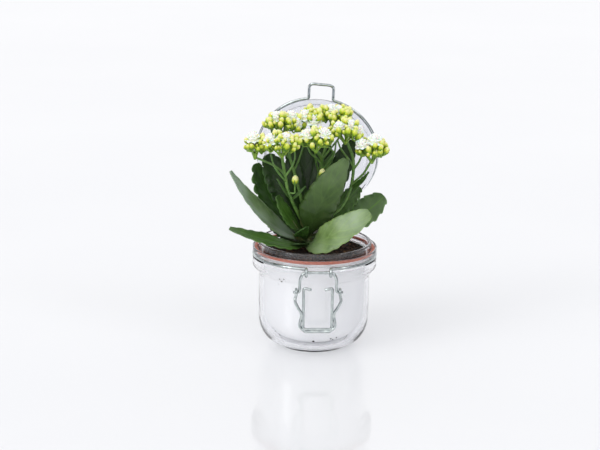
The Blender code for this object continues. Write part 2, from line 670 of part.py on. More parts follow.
def stalk_routes():
    """Each stalk, from its foot to where it ends."""
    top = STEM_HEIGHT / MM + 1.0
    x, y, r = STEM_X / MM, STEM_Y / MM, STEM_RADIUS / MM
    return {
        "stalk_left": [
            (x - 0.8 * r, y - 0.45 * r, top), (-15.5, -7, 32), (-19.5, -10, 41), (-22.7, -10.5, 49),
            (-25.4, -12, 63), head_foot("flowers_left_front"),
        ],
        "stalk_center": [
            (x + 0.25 * r, y - 0.85 * r, top), (-1, -1, 39), (3.6, 0, 57), (4.4, -1, 68), (2.5, -6, 76),
            head_foot("flowers_center"),
        ],
        "stalk_right": [
            (x + 0.9 * r, y + 0.1 * r, top), (9, 0, 24), (19, 0, 31), (25.2, 1, 41), (28.8, 1, 55),
            (29, 1, 71), head_foot("flowers_right_center", (1.5, 0)),
        ],
        "stalk_back_left": [
            (x - 0.6 * r, y + 0.7 * r, top), (-11, 5, 37), (-16, 7, 56), (-22, 9, 76), head_foot("flowers_back_left"),
        ],
        "stalk_back_right": [
            (x + 0.4 * r, y + 0.95 * r, top), (-1, 9, 39), (4, 14, 61), (9, 17, 81), head_foot("flowers_back_right"),
        ],
        "branch_far_left": [(-27.6, -10.5, 64), (-36, -10, 69.5), head_foot("flowers_far_left")],
        "branch_right": [(31.2, 0, 54), (37.5, -2, 61), head_foot("flowers_right", (-1, 0))],
        "branch_top": [(3, 14.4, 71), (-2, 13.5, 82), head_foot("flowers_top")],
    }


def stalks(finish):
    for name, route in stalk_routes().items():
        share = 0.72 if name.startswith("branch") else 1.0
        points = smooth_path([planted(p) for p in route], 2)
        tube(name, points, STALK_RADIUS * share, finish, lambda t: 1.0 - 0.25 * t)


def beside(point, anchor):
    """A point that keeps its distance from the middle of its stalk, however far the plant spreads."""
    return planted(anchor) + Vector([(p - a) * MM for p, a in zip(point, anchor)])


# Small leaves on the stalks: the stalk's middle beside them, foot, bend, tip, width, facing.
BRACTS = {
    "bract_left_low": (
        (-20.4, -10.1, 43), (-22.6, -12.2, 43.0), (-25, -13, 47.3), (-31.5, -12, 58.3), 4.2, (1, -0.5, 0.4),
    ),
    "bract_left_inner": (
        (-19.6, -10, 41.3), (-17.2, -11.2, 41.3), (-13, -12, 47.3), (-8.5, -12, 52.3), 4.0, (-1, -0.5, 0.4),
    ),
    "bract_right_low": (
        (27.6, 1, 49.3), (31.0, -1.2, 49.3), (36, -2, 52.3), (41.5, -3, 62.3), 4.6, (-0.5, -0.8, 0.5),
    ),
    "bract_center": (
        (4.4, -1, 67.8), (6.9, -1.4, 67.8), (11, -2, 71.3), (13, -3, 78.3), 3.8, (-0.6, -0.7, 0.4),
    ),
}

# Single buds on short stalks of their own: the stalk's middle beside them, foot, top of their own stalk.
SINGLE_BUDS = {
    "bud_left": ((-21.9, -10.4, 46.8), (-17.4, -12.4, 46.8), (-17.2, -13, 54.3)),
    "bud_center": ((2.5, -0.3, 52.3), (2.0, -4.4, 52.3), (3.4, -5.4, 58.3)),
}


def bracts(finish):
    for name, (anchor, base, bend, tip, width, face) in BRACTS.items():
        points = [beside(p, anchor) for p in (base, bend, tip)]
        add_mesh(name, lambda: bract_shape(points, width * MM, Vector(face).normalized()), finish)


def bract_shape(points, width, face):
    """Small pointed leaf with a six-sided section."""
    base, bend, tip = points
    shape = bmesh.new()
    rings = []
    for i in range(5):
        t = i / 5
        point = (1 - t) ** 2 * base + 2 * t * (1 - t) * bend + t**2 * tip
        along = (2 * (1 - t) * (bend - base) + 2 * t * (tip - bend)).normalized()
        side = along.cross(face).normalized()
        upper = side.cross(along)
        half = width / 2 * (0.45 + 0.55 * sin(pi * min(t + 0.12, 1.0)))
        thick = 0.5 * MM
        offsets = [(-1, 0), (-0.5, 1), (0.5, 1), (1, 0), (0.5, -1), (-0.5, -1)]
        rings.append([shape.verts.new(point + side * (u * half) + upper * (v * thick)) for u, v in offsets])
    end = shape.verts.new(tip)
    for low, high in zip(rings, rings[1:]):
        for k in range(6):
            j = (k + 1) % 6
            shape.faces.new((low[k], low[j], high[j], high[k]))
    for k in range(6):
        shape.faces.new((rings[-1][k], rings[-1][(k + 1) % 6], end))
    shape.faces.new(rings[0])
    return shape


def single_buds(finish):
    """Stalk and bud in one turned run: thin at the foot, round at the bud, pointed at the tip."""
    for name, (anchor, foot, top) in SINGLE_BUDS.items():
        start, end = beside(foot, anchor), beside(top, anchor)
        along = (end - start).normalized()
        run = [start, (start + end) / 2, end]
        run += [end + along * BUD_RADIUS * s for s in (0.5, 1.2, 1.9, 2.5, 2.8)]
        sizes = (0.26, 0.26, 0.34, 0.85, 1.0, 0.85, 0.45, 0.12)
        tube(name, run, BUD_RADIUS, finish, lambda t: sizes[round(t * (len(sizes) - 1))])


# ---------------------------------------------------------------- whole object


def main():
    clear_scene()
    glass = material("glass", (0.93, 0.94, 0.98), 0.02, transmission=1.0)
    rubber = material("rubber", (0.68, 0.22, 0.10), 0.55)
    steel = material("wire_steel", (0.62, 0.66, 0.66), 0.25, metallic=1.0)
    liner = material("liner_white", (0.86, 0.87, 0.90), 0.5)
    soil = material("soil", (0.06, 0.035, 0.02), 0.95)
    leaf = material("leaf_green", (0.09, 0.22, 0.04), 0.4)
    stem = material("stalk_green", (0.14, 0.30, 0.06), 0.45)
    flower = material("flower_cream", (0.82, 0.86, 0.42), 0.5)

    glass_jar(glass)
    rubber_gasket(rubber)
    inner_pot(liner)
    potting_soil(soil)
    neck_wire(steel)
    hang_on(latch_link(steel), pivot_empty("link_pivot", LATCH_PIVOT))
    hang_on(latch_lever(steel), pivot_empty("lever_pivot", LEVER_PIVOT))
    lid_pivot = pivot_empty("lid_pivot", LID_HINGE)
    hang_on(glass_lid(glass), lid_pivot)
    hang_on(lid_wire(steel), lid_pivot)
    main_stem(stem)
    leaves(leaf)
    stalks(stem)
    flower_heads(flower)
    bracts(leaf)
    single_buds(flower)


main()
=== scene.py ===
"""Looks of a flowering kalanchoe in a clip-top glass jar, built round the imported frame.

Metres, +Z up, in the frame's own axes: the latch is at -Y and the lid's hinge at +Y. Tables of places on the
plant are in millimetres: across from the jar's axis, and up from the stem's foot.
"""

import json
import random
from math import acos, atan2, cos, degrees, pi, radians, sin, sqrt

import bpy
import numpy as np
from mathutils import Matrix, Quaternion, Vector, noise

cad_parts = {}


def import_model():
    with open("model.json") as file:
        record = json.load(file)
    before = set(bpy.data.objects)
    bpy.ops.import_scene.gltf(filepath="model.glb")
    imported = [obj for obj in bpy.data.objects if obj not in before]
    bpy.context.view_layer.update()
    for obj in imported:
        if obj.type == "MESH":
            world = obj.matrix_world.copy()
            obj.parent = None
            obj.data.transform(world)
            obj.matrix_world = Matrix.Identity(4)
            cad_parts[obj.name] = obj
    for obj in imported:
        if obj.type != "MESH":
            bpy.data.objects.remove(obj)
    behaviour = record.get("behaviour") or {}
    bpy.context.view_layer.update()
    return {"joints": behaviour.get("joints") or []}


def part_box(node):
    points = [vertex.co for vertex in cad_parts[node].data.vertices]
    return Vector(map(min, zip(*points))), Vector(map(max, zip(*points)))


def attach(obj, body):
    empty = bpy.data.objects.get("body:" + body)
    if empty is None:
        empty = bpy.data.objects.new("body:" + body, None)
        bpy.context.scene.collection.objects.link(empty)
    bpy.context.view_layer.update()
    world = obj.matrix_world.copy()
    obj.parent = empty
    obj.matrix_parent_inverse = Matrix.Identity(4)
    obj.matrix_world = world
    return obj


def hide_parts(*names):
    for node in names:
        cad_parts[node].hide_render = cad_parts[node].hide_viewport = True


MM = 0.001
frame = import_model()
PIVOTS = {joint["name"]: Vector(joint["pos_m"]) for joint in frame["joints"]}
LATCH_PIVOT, LEVER_PIVOT, LID_HINGE = (PIVOTS[name] for name in ("link_pivot", "lever_pivot", "lid_hinge"))

# Camera
CAMERA_LENS = 97.27  # millimetres, on a sensor this wide:
SENSOR_WIDTH = 36.0
CAMERA_DISTANCE = 1.3
CAMERA_ELEVATION = radians(17.0)
CAMERA_AZIMUTH = radians(-3.6)
CAMERA_ROLL = radians(1.02)
CAMERA_TARGET = Vector((0, 0, 0.045))
CAMERA_AIM = Vector((-0.0112, 0.0153, 0.0925))  # what the middle of the picture looks at

# Jar, from the frame's box and the glass's own thicknesses
JAR_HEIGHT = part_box("glass_jar")[1].z
COLLAR_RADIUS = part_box("glass_jar")[1].x
SHOULDER_STEP = 5.2 * MM
BODY_RADIUS = COLLAR_RADIUS - SHOULDER_STEP
GLASS_WALL = 3.0 * MM
GLASS_FLOOR = 5.0 * MM
FOOT_RADIUS = 28.6 * MM
FOOT_HEIGHT = 2.2 * MM
HEEL_HEIGHT = 24.0 * MM
SHOULDER_HEIGHT = 8.4 * MM
LIP_HEIGHT = 7.7 * MM
LIP_WALL = 2.2 * MM
BEAD_WALL = 1.1 * MM
BEAD_HEIGHT = 3.4 * MM
FLANGE_THICKNESS = 1.3 * MM
COLLAR_EDGE = 1.6 * MM
COLLAR_HEIGHT = 6.4 * MM
GASKET_WIDTH = 2.4 * MM
GASKET_THICKNESS = 1.8 * MM
GAP = 0.4 * MM

BODY_INSIDE = BODY_RADIUS - GLASS_WALL
HEEL_REACH = BODY_RADIUS - FOOT_RADIUS - 1.0 * MM
INNER_HEEL_REACH = BODY_INSIDE - FOOT_RADIUS + GLASS_WALL / 2
CHANNEL_Z = JAR_HEIGHT - LIP_HEIGHT
GROOVE_TOP = CHANNEL_Z - FLANGE_THICKNESS

# Wires
BAIL_WIRE_RADIUS = 1.2 * MM
LATCH_WIRE_RADIUS = 1.1 * MM
PIVOT_PLAY = 0.4 * MM
EYE_TURN = radians(250)
EYE_SPACING = 18.8 * MM
LINK_WIDTH = 28.4 * MM
LEVER_EYE_SPACING = 33.6 * MM
LEVER_LENGTH = 31.8 * MM
LEVER_BULGE_WIDTH = 35.4 * MM
LEVER_WAIST_WIDTH = 24.6 * MM
LEVER_FLARE_WIDTH = 27.4 * MM
LEVER_BAR_WIDTH = 18.8 * MM
HOOK_SPACING = 22.2 * MM
HOOK_RISE = 3.6 * MM
HOOK_REACH = 5.8 * MM
HINGE_BAR_WIDTH = 23.0 * MM
LID_LEG_SPACING = 15.0 * MM

NECK_WIRE_Z = GROOVE_TOP - GAP - BAIL_WIRE_RADIUS
GROOVE_BOTTOM = NECK_WIRE_Z - GAP - BAIL_WIRE_RADIUS
COLLAR_Z = GROOVE_BOTTOM - COLLAR_HEIGHT
SHOULDER_Z = COLLAR_Z - SHOULDER_HEIGHT
CHANNEL_OUTSIDE = COLLAR_RADIUS - BEAD_WALL
LIP_OUTSIDE = CHANNEL_OUTSIDE - GASKET_WIDTH - 2 * GAP
NECK_INSIDE = LIP_OUTSIDE - LIP_WALL
NECK_WIRE_RADIUS = COLLAR_RADIUS - BAIL_WIRE_RADIUS + 0.3 * MM
GROOVE_RADIUS = NECK_WIRE_RADIUS - BAIL_WIRE_RADIUS - GAP

# Lid
LID_RADIUS = COLLAR_RADIUS
LID_WIRE_RING = LID_RADIUS + 0.4 * MM
LID_RING_RISE = 20.6 * MM
LID_SKIRT = 12.6 * MM
LID_SKIRT_WALL = 5.6 * MM
LID_PANEL = 3.6 * MM
LID_OPEN_ANGLE = radians(75)
LID_TWIST = radians(8.0)
LID_LEAN = radians(1.6)
LOOP_WIDTH = 19.8 * MM
LOOP_REACH = 13.0 * MM
LOOP_BEND = radians(20)
LOOP_CORNER = 5.6 * MM

# Liner and soil
LINER_PLAY = 0.6 * MM
LINER_WALL = 1.0 * MM
HEEL_EASE = 4.5 * MM  # how much rounder the liner is than the glass round its foot
LINER_TOP = JAR_HEIGHT - 13.7 * MM
SOIL_EDGE_Z = JAR_HEIGHT - 8.6 * MM
SOIL_CROWN = 2.2 * MM
CRUMBS, FIBRES = 1500, 420
SPECK_SCALE = 1.35

# Plant
STEM_X, STEM_Y = -6.0 * MM, 0.0
STEM_RADIUS = 4.0 * MM
STEM_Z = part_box("main_stem")[0].z
STEM_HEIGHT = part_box("main_stem")[1].z - STEM_Z
LEAF_THICKNESS = 2.2 * MM
PETIOLE_WIDTH = 4.4 * MM
TEETH = 9  # scallops down each side of a leaf
TOOTH_DEPTH = 1.5  # millimetres
STALK_RADIUS = 1.5 * MM
HEAD_CORE = 0.82  # how much of a head's half height lies over the end of its stalk
BRANCHES = 7  # into which each flower stalk parts

SOIL_SEED, SPECK_SEED, HEAD_SEED = 11, 5, 100
AROUND = 160  # facets round a turned piece
SHARP_ANGLE = radians(50)


# ---------------------------------------------------------------- shapes


def smooth_share(t):
    t = min(max(t, 0.0), 1.0)
    return t * t * (3 - 2 * t)


def turns(count):
    """Even angles round a circle."""
    return [2 * pi * k / count for k in range(count)]


def arc(centre_r, centre_z, radius_r, radius_z, start, end, steps):
    """Points of an elliptic arc in a turned profile, angles in degrees from +radius towards +Z."""
    angles = [radians(start + (end - start) * i / steps) for i in range(steps + 1)]
    return [(centre_r + radius_r * cos(a), centre_z + radius_z * sin(a)) for a in angles]


def bezier(base, bend, tip):
    return lambda t: (1 - t) ** 2 * base + 2 * t * (1 - t) * bend + t**2 * tip


def rounded(points, radius, steps=5):
    """A polyline whose inner corners are replaced by short curves."""
    points = [Vector(p) for p in points]
    made = [points[0]]
    for before, corner, after in zip(points, points[1:], points[2:]):
        to_before, to_after = before - corner, after - corner
        reach = min(radius, 0.48 * to_before.length, 0.48 * to_after.length)
        start, end = (corner + way.normalized() * reach for way in (to_before, to_after))
        curve = bezier(start, corner, end)
        made += [curve(i / steps) for i in range(steps + 1)]
    return [*made, points[-1]]


def smooth_path(points, steps):
    """Catmull-Rom curve through the points, with this many pieces between each two."""
    points = [Vector(p) for p in points]
    ends = [2 * points[0] - points[1], *points, 2 * points[-1] - points[-2]]
    made = []
    for a, b, c, d in zip(ends, ends[1:], ends[2:], ends[3:]):
        for i in range(steps):
            t = i / steps
            curve = 2 * b + (c - a) * t + (2 * a - 5 * b + 4 * c - d) * t**2 + (3 * b - a - 3 * c + d) * t**3
            made.append(0.5 * curve)
    return [*made, points[-1]]


class Gather:
    """Points and faces of many small shapes, joined into one mesh with its values along, across and shade."""

    def __init__(self):
        self.points, self.faces, self.count = [], [], 0
        self.values = {"along": [], "across": [], "shade": []}

    def add(self, points, faces, along, across, shade):
        self.points.append(np.asarray(points, float))
        self.faces += [tuple(i + self.count for i in face) for face in faces]
        self.count += len(points)
        for parts, values in zip(self.values.values(), (along, across, np.full(len(points), shade))):
            parts.append(np.asarray(values, float))

    def place(self, template, matrix, shade):
        points, *rest = template
        self.add(points @ np.array(matrix.to_3x3()).T + np.array(matrix.translation), *rest, shade)

    def template(self):
        """Shapes gathered in millimetres, as one (points, faces, along, across)."""
        along, across = (np.concatenate(self.values[key]) for key in ("along", "across"))
        return np.concatenate(self.points) * MM, self.faces, along, across

    def mesh(self):
        mesh = bpy.data.meshes.new("gathered")
        mesh.from_pydata(np.concatenate(self.points).tolist(), [], self.faces)
        for key, parts in self.values.items():
            attribute = mesh.attributes.new(key, "FLOAT", "POINT")
            attribute.data.foreach_set("value", np.concatenate(parts).astype(np.float32))
        mesh.shade_smooth()
        return mesh


def lofted(rings, along, across, tip=None):
    """Closed shape through rings of points; the first is capped, the last too unless it runs to a tip."""
    size = len(rings[0])
    last = (len(rings) - 1) * size
    points = [p for ring in rings for p in ring]
    faces = [
        (first + k, first + (k + 1) % size, first + size + (k + 1) % size, first + size + k)
        for first in range(0, last, size)
        for k in range(size)
    ]
    faces.append(tuple(reversed(range(size))))
    if tip is None:
        faces.append(tuple(range(last, last + size)))
    else:
        points.append(tip)
        along, across = [*along, 1.0], [*across, 0.0]
        faces += [(last + k, last + (k + 1) % size, len(points) - 1) for k in range(size)]
    return np.array([tuple(p) for p in points]), faces, np.array(along), np.array(across)


def blade(curve, facing, half_width, thickness, lift, stations, columns, spacing=1.0):
    """Leaf-like shape along curve(t), 0 to 1. facing is where its upper side looks. half_width(t, side),
    thickness(t, u) and lift(t, u) give its outline, its section and how far its surface is raised."""
    over = [-1 + 2 * k / columns for k in range(columns + 1)]
    section = [(u, 1) for u in over] + [(u, -1) for u in reversed(over[1:-1])]
    rings, along, across = [], [], []
    for i in range(stations):
        t = 1 - (1 - i / stations) ** spacing
        forward = (curve(min(t + 0.01, 1.0)) - curve(max(t - 0.01, 0.0))).normalized()
        side = forward.cross(facing).normalized()
        upper = side.cross(forward)
        ring = []
        for u, face in section:
            half = half_width(t, 1 if u > 0 else -1)
            skin = 0.5 * face * thickness(t, u) if abs(u) < 1 else 0.0
            ring.append(curve(t) + side * (u * half) + upper * (lift(t, u) + skin))
            across.append(u * face if abs(u) < 1 else u)
        along += [t] * len(section)
        rings.append(ring)
    return lofted(rings, along, across, curve(1.0))


def lathe(profile, around, lobes=0, depth=0.0, turn=0.0):
    """Turned about +Z through (radius, height) points, wide end to point, with lobes that run in a spiral."""
    rings, along, across = [], [], []
    top = profile[-1][1]
    for radius, height in profile[:-1]:
        share = height / top
        waves = [cos(lobes * (a + turn * share)) for a in turns(around)]
        radii = [radius * (1 + depth * share * wave) for wave in waves]
        rings.append([(r * cos(a), r * sin(a), height) for r, a in zip(radii, turns(around))])
        along += [share] * around
        across += waves if lobes else [0.0] * around
    return lofted(rings, along, across, (0, 0, top))


def sweep(path, radius, sides):
    """Round tube along a path; radius(t) is its radius along it."""
    points = [Vector(p) for p in path]
    rings, along, across = [], [], []
    forward = (points[1] - points[0]).normalized()
    normal = forward.orthogonal().normalized()
    for i, point in enumerate(points):
        ahead = (points[min(i + 1, len(points) - 1)] - points[max(i - 1, 0)]).normalized()
        normal = (forward.rotation_difference(ahead) @ normal).normalized()
        forward = ahead
        other = forward.cross(normal)
        t = i / (len(points) - 1)
        rings.append([point + (normal * cos(a) + other * sin(a)) * radius(t) for a in turns(sides)])
        along += [t] * sides
        across += [cos(a) for a in turns(sides)]
    return lofted(rings, along, across)


def turned_mesh(profile, corner=0.5 * MM):
    """Solid of revolution about Z, its profile's corners rounded. The profile is open and starts and ends on
    the axis, or is a closed ring that never reaches it."""
    on_axis = 1e-6
    closed = profile[0][0] > on_axis
    line = [Vector((r, 0, z)) for r, z in profile]
    if closed:
        line = [(line[0] + line[-1]) / 2, *line, (line[0] + line[-1]) / 2]
    line = rounded(line, corner)
    points, rows = [], []
    for place in line[:-1] if closed else line:
        angles = turns(AROUND) if place.x > on_axis else [0.0]
        rows.append(range(len(points), len(points) + len(angles)))
        points += [(place.x * cos(a), place.x * sin(a), place.z) for a in angles]
    faces = []
    for low, high in zip(rows, rows[1:] + rows[:1] if closed else rows[1:]):
        for k in range(AROUND):
            j = (k + 1) % AROUND
            corners = (low[k % len(low)], low[j % len(low)], high[j % len(high)], high[k % len(high)])
            faces.append(tuple(dict.fromkeys(corners)))
    mesh = bpy.data.meshes.new("turned")
    mesh.from_pydata(points, [], faces)
    mesh.shade_smooth()
    mesh.set_sharp_from_angle(angle=SHARP_ANGLE)
    return mesh


def shown(name, data, finish):
    data.name = name
    data.materials.append(finish)
    item = bpy.data.objects.new(name, data)
    bpy.context.scene.collection.objects.link(item)
    return item


def add_piece(node, data, finish, body="jar", name=None):
    """A finished piece that stands for a CAD node, or an extra one where node is None."""
    item = shown(name or "fine_" + node, data, finish)
    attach(item, body)
    if node:
        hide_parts(node)


# ---------------------------------------------------------------- materials


class Nodes:
    """Short way to build the nodes of a material, or of a world."""

    def __init__(self, name, kind=bpy.data.materials):
        self.data = kind.new(name)
        self.data.use_nodes = True
        self.tree = self.data.node_tree

    def put(self, socket, value):
        """Links a socket to another, or gives it a constant. A colour is three numbers."""
        if isinstance(value, bpy.types.NodeSocket):
            self.tree.links.new(value, socket)
        else:
            socket.default_value = (*value, 1.0) if socket.type == "RGBA" else value

    def set(self, **values):
        for key, value in values.items():
            title = key.replace("_", " ").title().replace("Ior", "IOR")
            self.put(self.tree.nodes["Principled BSDF"].inputs[title], value)

    def add(self, kind, inputs=None, **settings):
        made = self.tree.nodes.new("ShaderNode" + kind)
        for key, value in settings.items():
            setattr(made, key, value)
        for key, value in (inputs or {}).items():
            self.put(made.inputs[key], value)
        return made

    def value(self, attribute):
        return self.add("Attribute", attribute_name=attribute).outputs["Fac"]

    def noise(self, scale, detail=3.0, distortion=0.0):
        inputs = {"Vector": self.add("TexCoord").outputs["Object"], "Scale": scale, "Detail": detail}
        return self.add("TexNoise", {**inputs, "Roughness": 0.55, "Distortion": distortion}).outputs["Fac"]

    def math(self, operation, a, b=0.0):
        return self.add("Math", {0: a, 1: b}, operation=operation).outputs[0]

    def spread(self, value, low, high, to_low=0.0, to_high=1.0):
        inputs = {"Value": value, "From Min": low, "From Max": high, "To Min": to_low, "To Max": to_high}
        return self.add("MapRange", inputs, interpolation_type="SMOOTHSTEP").outputs["Result"]

    def ramp(self, value, stops):
        made = self.add("ValToRGB", {"Fac": value})
        elements = made.color_ramp.elements
        while len(elements) < len(stops):
            elements.new(1.0)
        for element, (place, colour) in zip(elements, stops):
            element.position = place
            element.color = (*colour, 1.0)
        return made.outputs["Color"]

    def mix(self, share, a, b):
        return self.add("Mix", {0: share, 6: a, 7: b}, data_type="RGBA").outputs[2]

    def bump(self, height, distance, strength):
        inputs = {"Height": height, "Distance": distance, "Strength": strength}
        self.set(normal=self.add("Bump", inputs).outputs["Normal"])


def glass_finish(name, tint):
    """Clear pressed glass with very slight waves. It casts no shadow of its own on what it holds."""
    made = Nodes(name)
    made.set(base_color=tint, roughness=0.0, transmission_weight=1.0, ior=1.5)
    made.bump(made.noise(55.0, detail=1.0), 0.0004, 0.25)
    path = made.add("LightPath").outputs
    soft = made.math("MAXIMUM", path["Is Shadow Ray"], path["Is Diffuse Ray"])
    clear = made.add("BsdfTransparent", {"Color": (1.0, 1.0, 1.0)}).outputs[0]
    glass = made.tree.nodes["Principled BSDF"].outputs[0]
    both = made.add("MixShader", {0: soft, 1: glass, 2: clear}).outputs[0]
    made.put(made.tree.nodes["Material Output"].inputs["Surface"], both)
    return made.data


def rubber_finish():
    made = Nodes("gasket_rubber")
    dust = made.noise(700.0, detail=2.0)
    made.set(base_color=made.mix(made.spread(dust, 0.45, 0.75), (0.42, 0.085, 0.038), (0.53, 0.15, 0.08)))
    made.set(roughness=0.5)
    made.bump(dust, 0.0001, 0.4)
    return made.data


def wire_finish():
    """Bright drawn steel, slightly uneven."""
    made = Nodes("wire_steel")
    wear = made.noise(420.0)
    made.set(base_color=made.mix(made.spread(wear, 0.35, 0.7), (0.40, 0.44, 0.44), (0.60, 0.645, 0.64)))
    made.set(metallic=1.0, roughness=made.spread(wear, 0.3, 0.8, 0.06, 0.16))
    made.bump(wear, 0.00005, 0.3)
    return made.data


def liner_finish():
    made = Nodes("liner_white")
    patches = made.noise(38.0, detail=4.0)
    patchy = made.spread(patches, 0.3, 0.75)
    made.set(base_color=made.mix(patchy, (0.935, 0.94, 0.955), (0.965, 0.968, 0.975)))
    made.set(roughness=made.spread(patches, 0.3, 0.7, 0.45, 0.6))
    made.bump(made.noise(900.0, detail=2.0), 0.00005, 0.3)
    return made.data


def soil_finish():
    made = Nodes("soil")
    crumbs = made.math("MULTIPLY", made.noise(650.0, detail=5.0), 0.45)
    tone = made.math("ADD", made.math("MULTIPLY", made.value("shade"), 0.7), crumbs)
    stops = [(0.1, (0.005, 0.003, 0.002)), (0.55, (0.020, 0.010, 0.005)), (0.85, (0.10, 0.045, 0.018))]
    made.set(base_color=made.ramp(tone, [*stops, (1.0, (0.26, 0.14, 0.06))]), roughness=0.95)
    made.bump(made.noise(1500.0, detail=4.0), 0.0004, 0.8)
    return made.data


def scaled(colour, by, plus=0.0):
    return tuple(min(1.0, by * c + plus) for c in colour)


# Leaf tints: darker and lighter green, the pale colour of the patches, part wax bloom and part painted sheen,
# and their share, how pale the midrib is, partly as a painted highlight, and for some, from where down and
# how much painted shade darkens the foot.
LEAF_TINTS = {
    # The dark and deep tints go on leaves low and deep in the plant; they are darker to paint in the shade
    # there.
    "dark": ((0.009, 0.030, 0.003), (0.018, 0.052, 0.006), (0.05, 0.09, 0.03), 0.2, 0.2),
    "deep": ((0.020, 0.062, 0.007), (0.040, 0.108, 0.014), (0.07, 0.12, 0.04), 0.25, 0.3),
    "mid": ((0.029, 0.084, 0.008), (0.060, 0.145, 0.017), (0.12, 0.19, 0.08), 0.35, 0.6),
    "back": ((0.030, 0.075, 0.008), (0.068, 0.138, 0.020), (0.20, 0.28, 0.14), 0.4, 0.12, (0.95, 0.9)),
    # Painted sheen: this tint, on the long left leaf, is pale bluish green over most of it for the sheen on
    # its wax.
    "waxy": ((0.085, 0.155, 0.045), (0.15, 0.24, 0.085), (0.33, 0.43, 0.33), 0.95, 0.2),
    "fresh": ((0.040, 0.105, 0.014), (0.080, 0.170, 0.030), (0.18, 0.26, 0.14), 0.5, 0.9),
    "pale": ((0.090, 0.170, 0.026), (0.20, 0.31, 0.085), (0.38, 0.48, 0.34), 0.9, 0.12, (0.8, 0.75)),
}


def leaf_finish(name, dark, light, bloom_and_sheen, bloom_and_sheen_share, rib_and_highlight_share, shaded=(0.6, 0.5)):
    """Fleshy leaf: mottled green, a paler margin, faint side veins, a paler midrib that is partly a painted
    highlight, pale patches that are partly wax bloom and partly painted sheen, and painted shade at the foot.
    """
    made = Nodes(name)
    along, across = made.value("along"), made.value("across")
    out = made.math("ABSOLUTE", across)
    mottle = made.noise(95.0, detail=5.0, distortion=0.3)
    base = made.mix(made.spread(mottle, 0.3, 0.7), dark, light)
    # Pale bluish patches: partly the leaf's wax bloom, partly painted sheen.
    patches = made.spread(made.noise(24.0, detail=2.0), 0.38, 0.66)
    base = made.mix(made.math("MULTIPLY", patches, bloom_and_sheen_share), base, bloom_and_sheen)
    # Paler midrib: partly its own colour, partly a painted highlight along it.
    base = made.mix(made.spread(out, 0.015, 0.08, rib_and_highlight_share, 0.0), base, scaled(light, 1.7, 0.01))
    veins = made.math("ADD", made.math("MULTIPLY", along, 46.0), made.math("MULTIPLY", out, -13.0))
    ridge = made.spread(made.math("SINE", veins), 0.55, 1.0)
    base = made.mix(made.math("MULTIPLY", ridge, 0.2), base, scaled(light, 1.6))
    base = made.mix(made.spread(out, 0.92, 1.0, 0.0, 0.55), base, scaled(light, 2.6, 0.03))
    # Painted shade: the leaf darkens towards its foot, where the leaves above shade it.
    base = made.mix(made.spread(along, shaded[0], 0.12, 0.0, shaded[1]), base, scaled(dark, 0.6))
    made.set(base_color=base, roughness=made.spread(mottle, 0.2, 0.8, 0.30, 0.46), specular_ior_level=0.42)
    made.set(subsurface_weight=0.08, subsurface_scale=0.002, subsurface_radius=(0.5, 1.0, 0.2))
    fine = made.math("ADD", made.math("MULTIPLY", ridge, -0.35), made.noise(520.0))
    made.bump(fine, 0.00022, 0.55)
    return made.data


def stalk_finish(name, dark, light):
    made = Nodes(name)
    streak = made.noise(240.0, detail=4.0, distortion=0.4)
    base = made.mix(made.spread(streak, 0.3, 0.72), dark, light)
    made.set(base_color=made.mix(made.math("MULTIPLY", made.value("shade"), 0.35), base, scaled(light, 1.5)))
    made.set(roughness=0.42, subsurface_weight=0.10, subsurface_scale=0.0015)
    made.bump(streak, 0.0002, 0.4)
    return made.data


def bud_finish():
    """Closed buds: yellow-green below, cream at the tip, each a little different."""
    made = Nodes("bud_skin")
    ripeness = made.math("MULTIPLY", made.math("SUBTRACT", made.value("shade"), 0.5), 0.55)
    stops = [(0.0, (0.09, 0.24, 0.008)), (0.28, (0.37, 0.53, 0.012)), (0.58, (0.68, 0.76, 0.06))]
    base = made.ramp(made.math("ADD", made.value("along"), ripeness), [*stops, (0.95, (0.93, 0.92, 0.42))])
    seam = made.math("MULTIPLY", made.spread(made.value("across"), -0.6, -1.0), 0.35)
    base = made.mix(seam, base, (0.42, 0.52, 0.08))
    speckle = made.noise(900.0, detail=2.0)
    made.set(base_color=made.mix(made.spread(speckle, 0.55, 0.8, 0.0, 0.2), base, (0.55, 0.62, 0.12)))
    made.set(roughness=0.45, subsurface_weight=0.2, subsurface_scale=0.0015)
    made.bump(speckle, 0.0001, 0.4)
    return made.data


def petal_finish():
    made = Nodes("petal_white")
    stops = [(0.0, (0.70, 0.79, 0.28)), (0.25, (0.91, 0.92, 0.70)), (0.7, (0.95, 0.945, 0.93))]
    base = made.ramp(made.value("along"), stops)
    base = made.mix(made.math("MULTIPLY", made.value("shade"), 0.2), base, (0.94, 0.95, 0.82))
    veins = made.math("SINE", made.math("MULTIPLY", made.value("across"), 14.0))
    made.set(base_color=made.mix(made.spread(veins, 0.6, 1.0, 0.0, 0.08), base, (0.86, 0.88, 0.74)))
    made.set(roughness=0.6, subsurface_weight=0.35, subsurface_scale=0.003)
    # Painted light: the petals glow faintly so that they stay bright white.
    made.set(emission_strength=0.10, emission_color=(1.0, 1.0, 0.92))
    made.bump(made.noise(1200.0, detail=2.0), 0.00008, 0.4)
    return made.data


# ---------------------------------------------------------------- jar, gasket, liner, soil


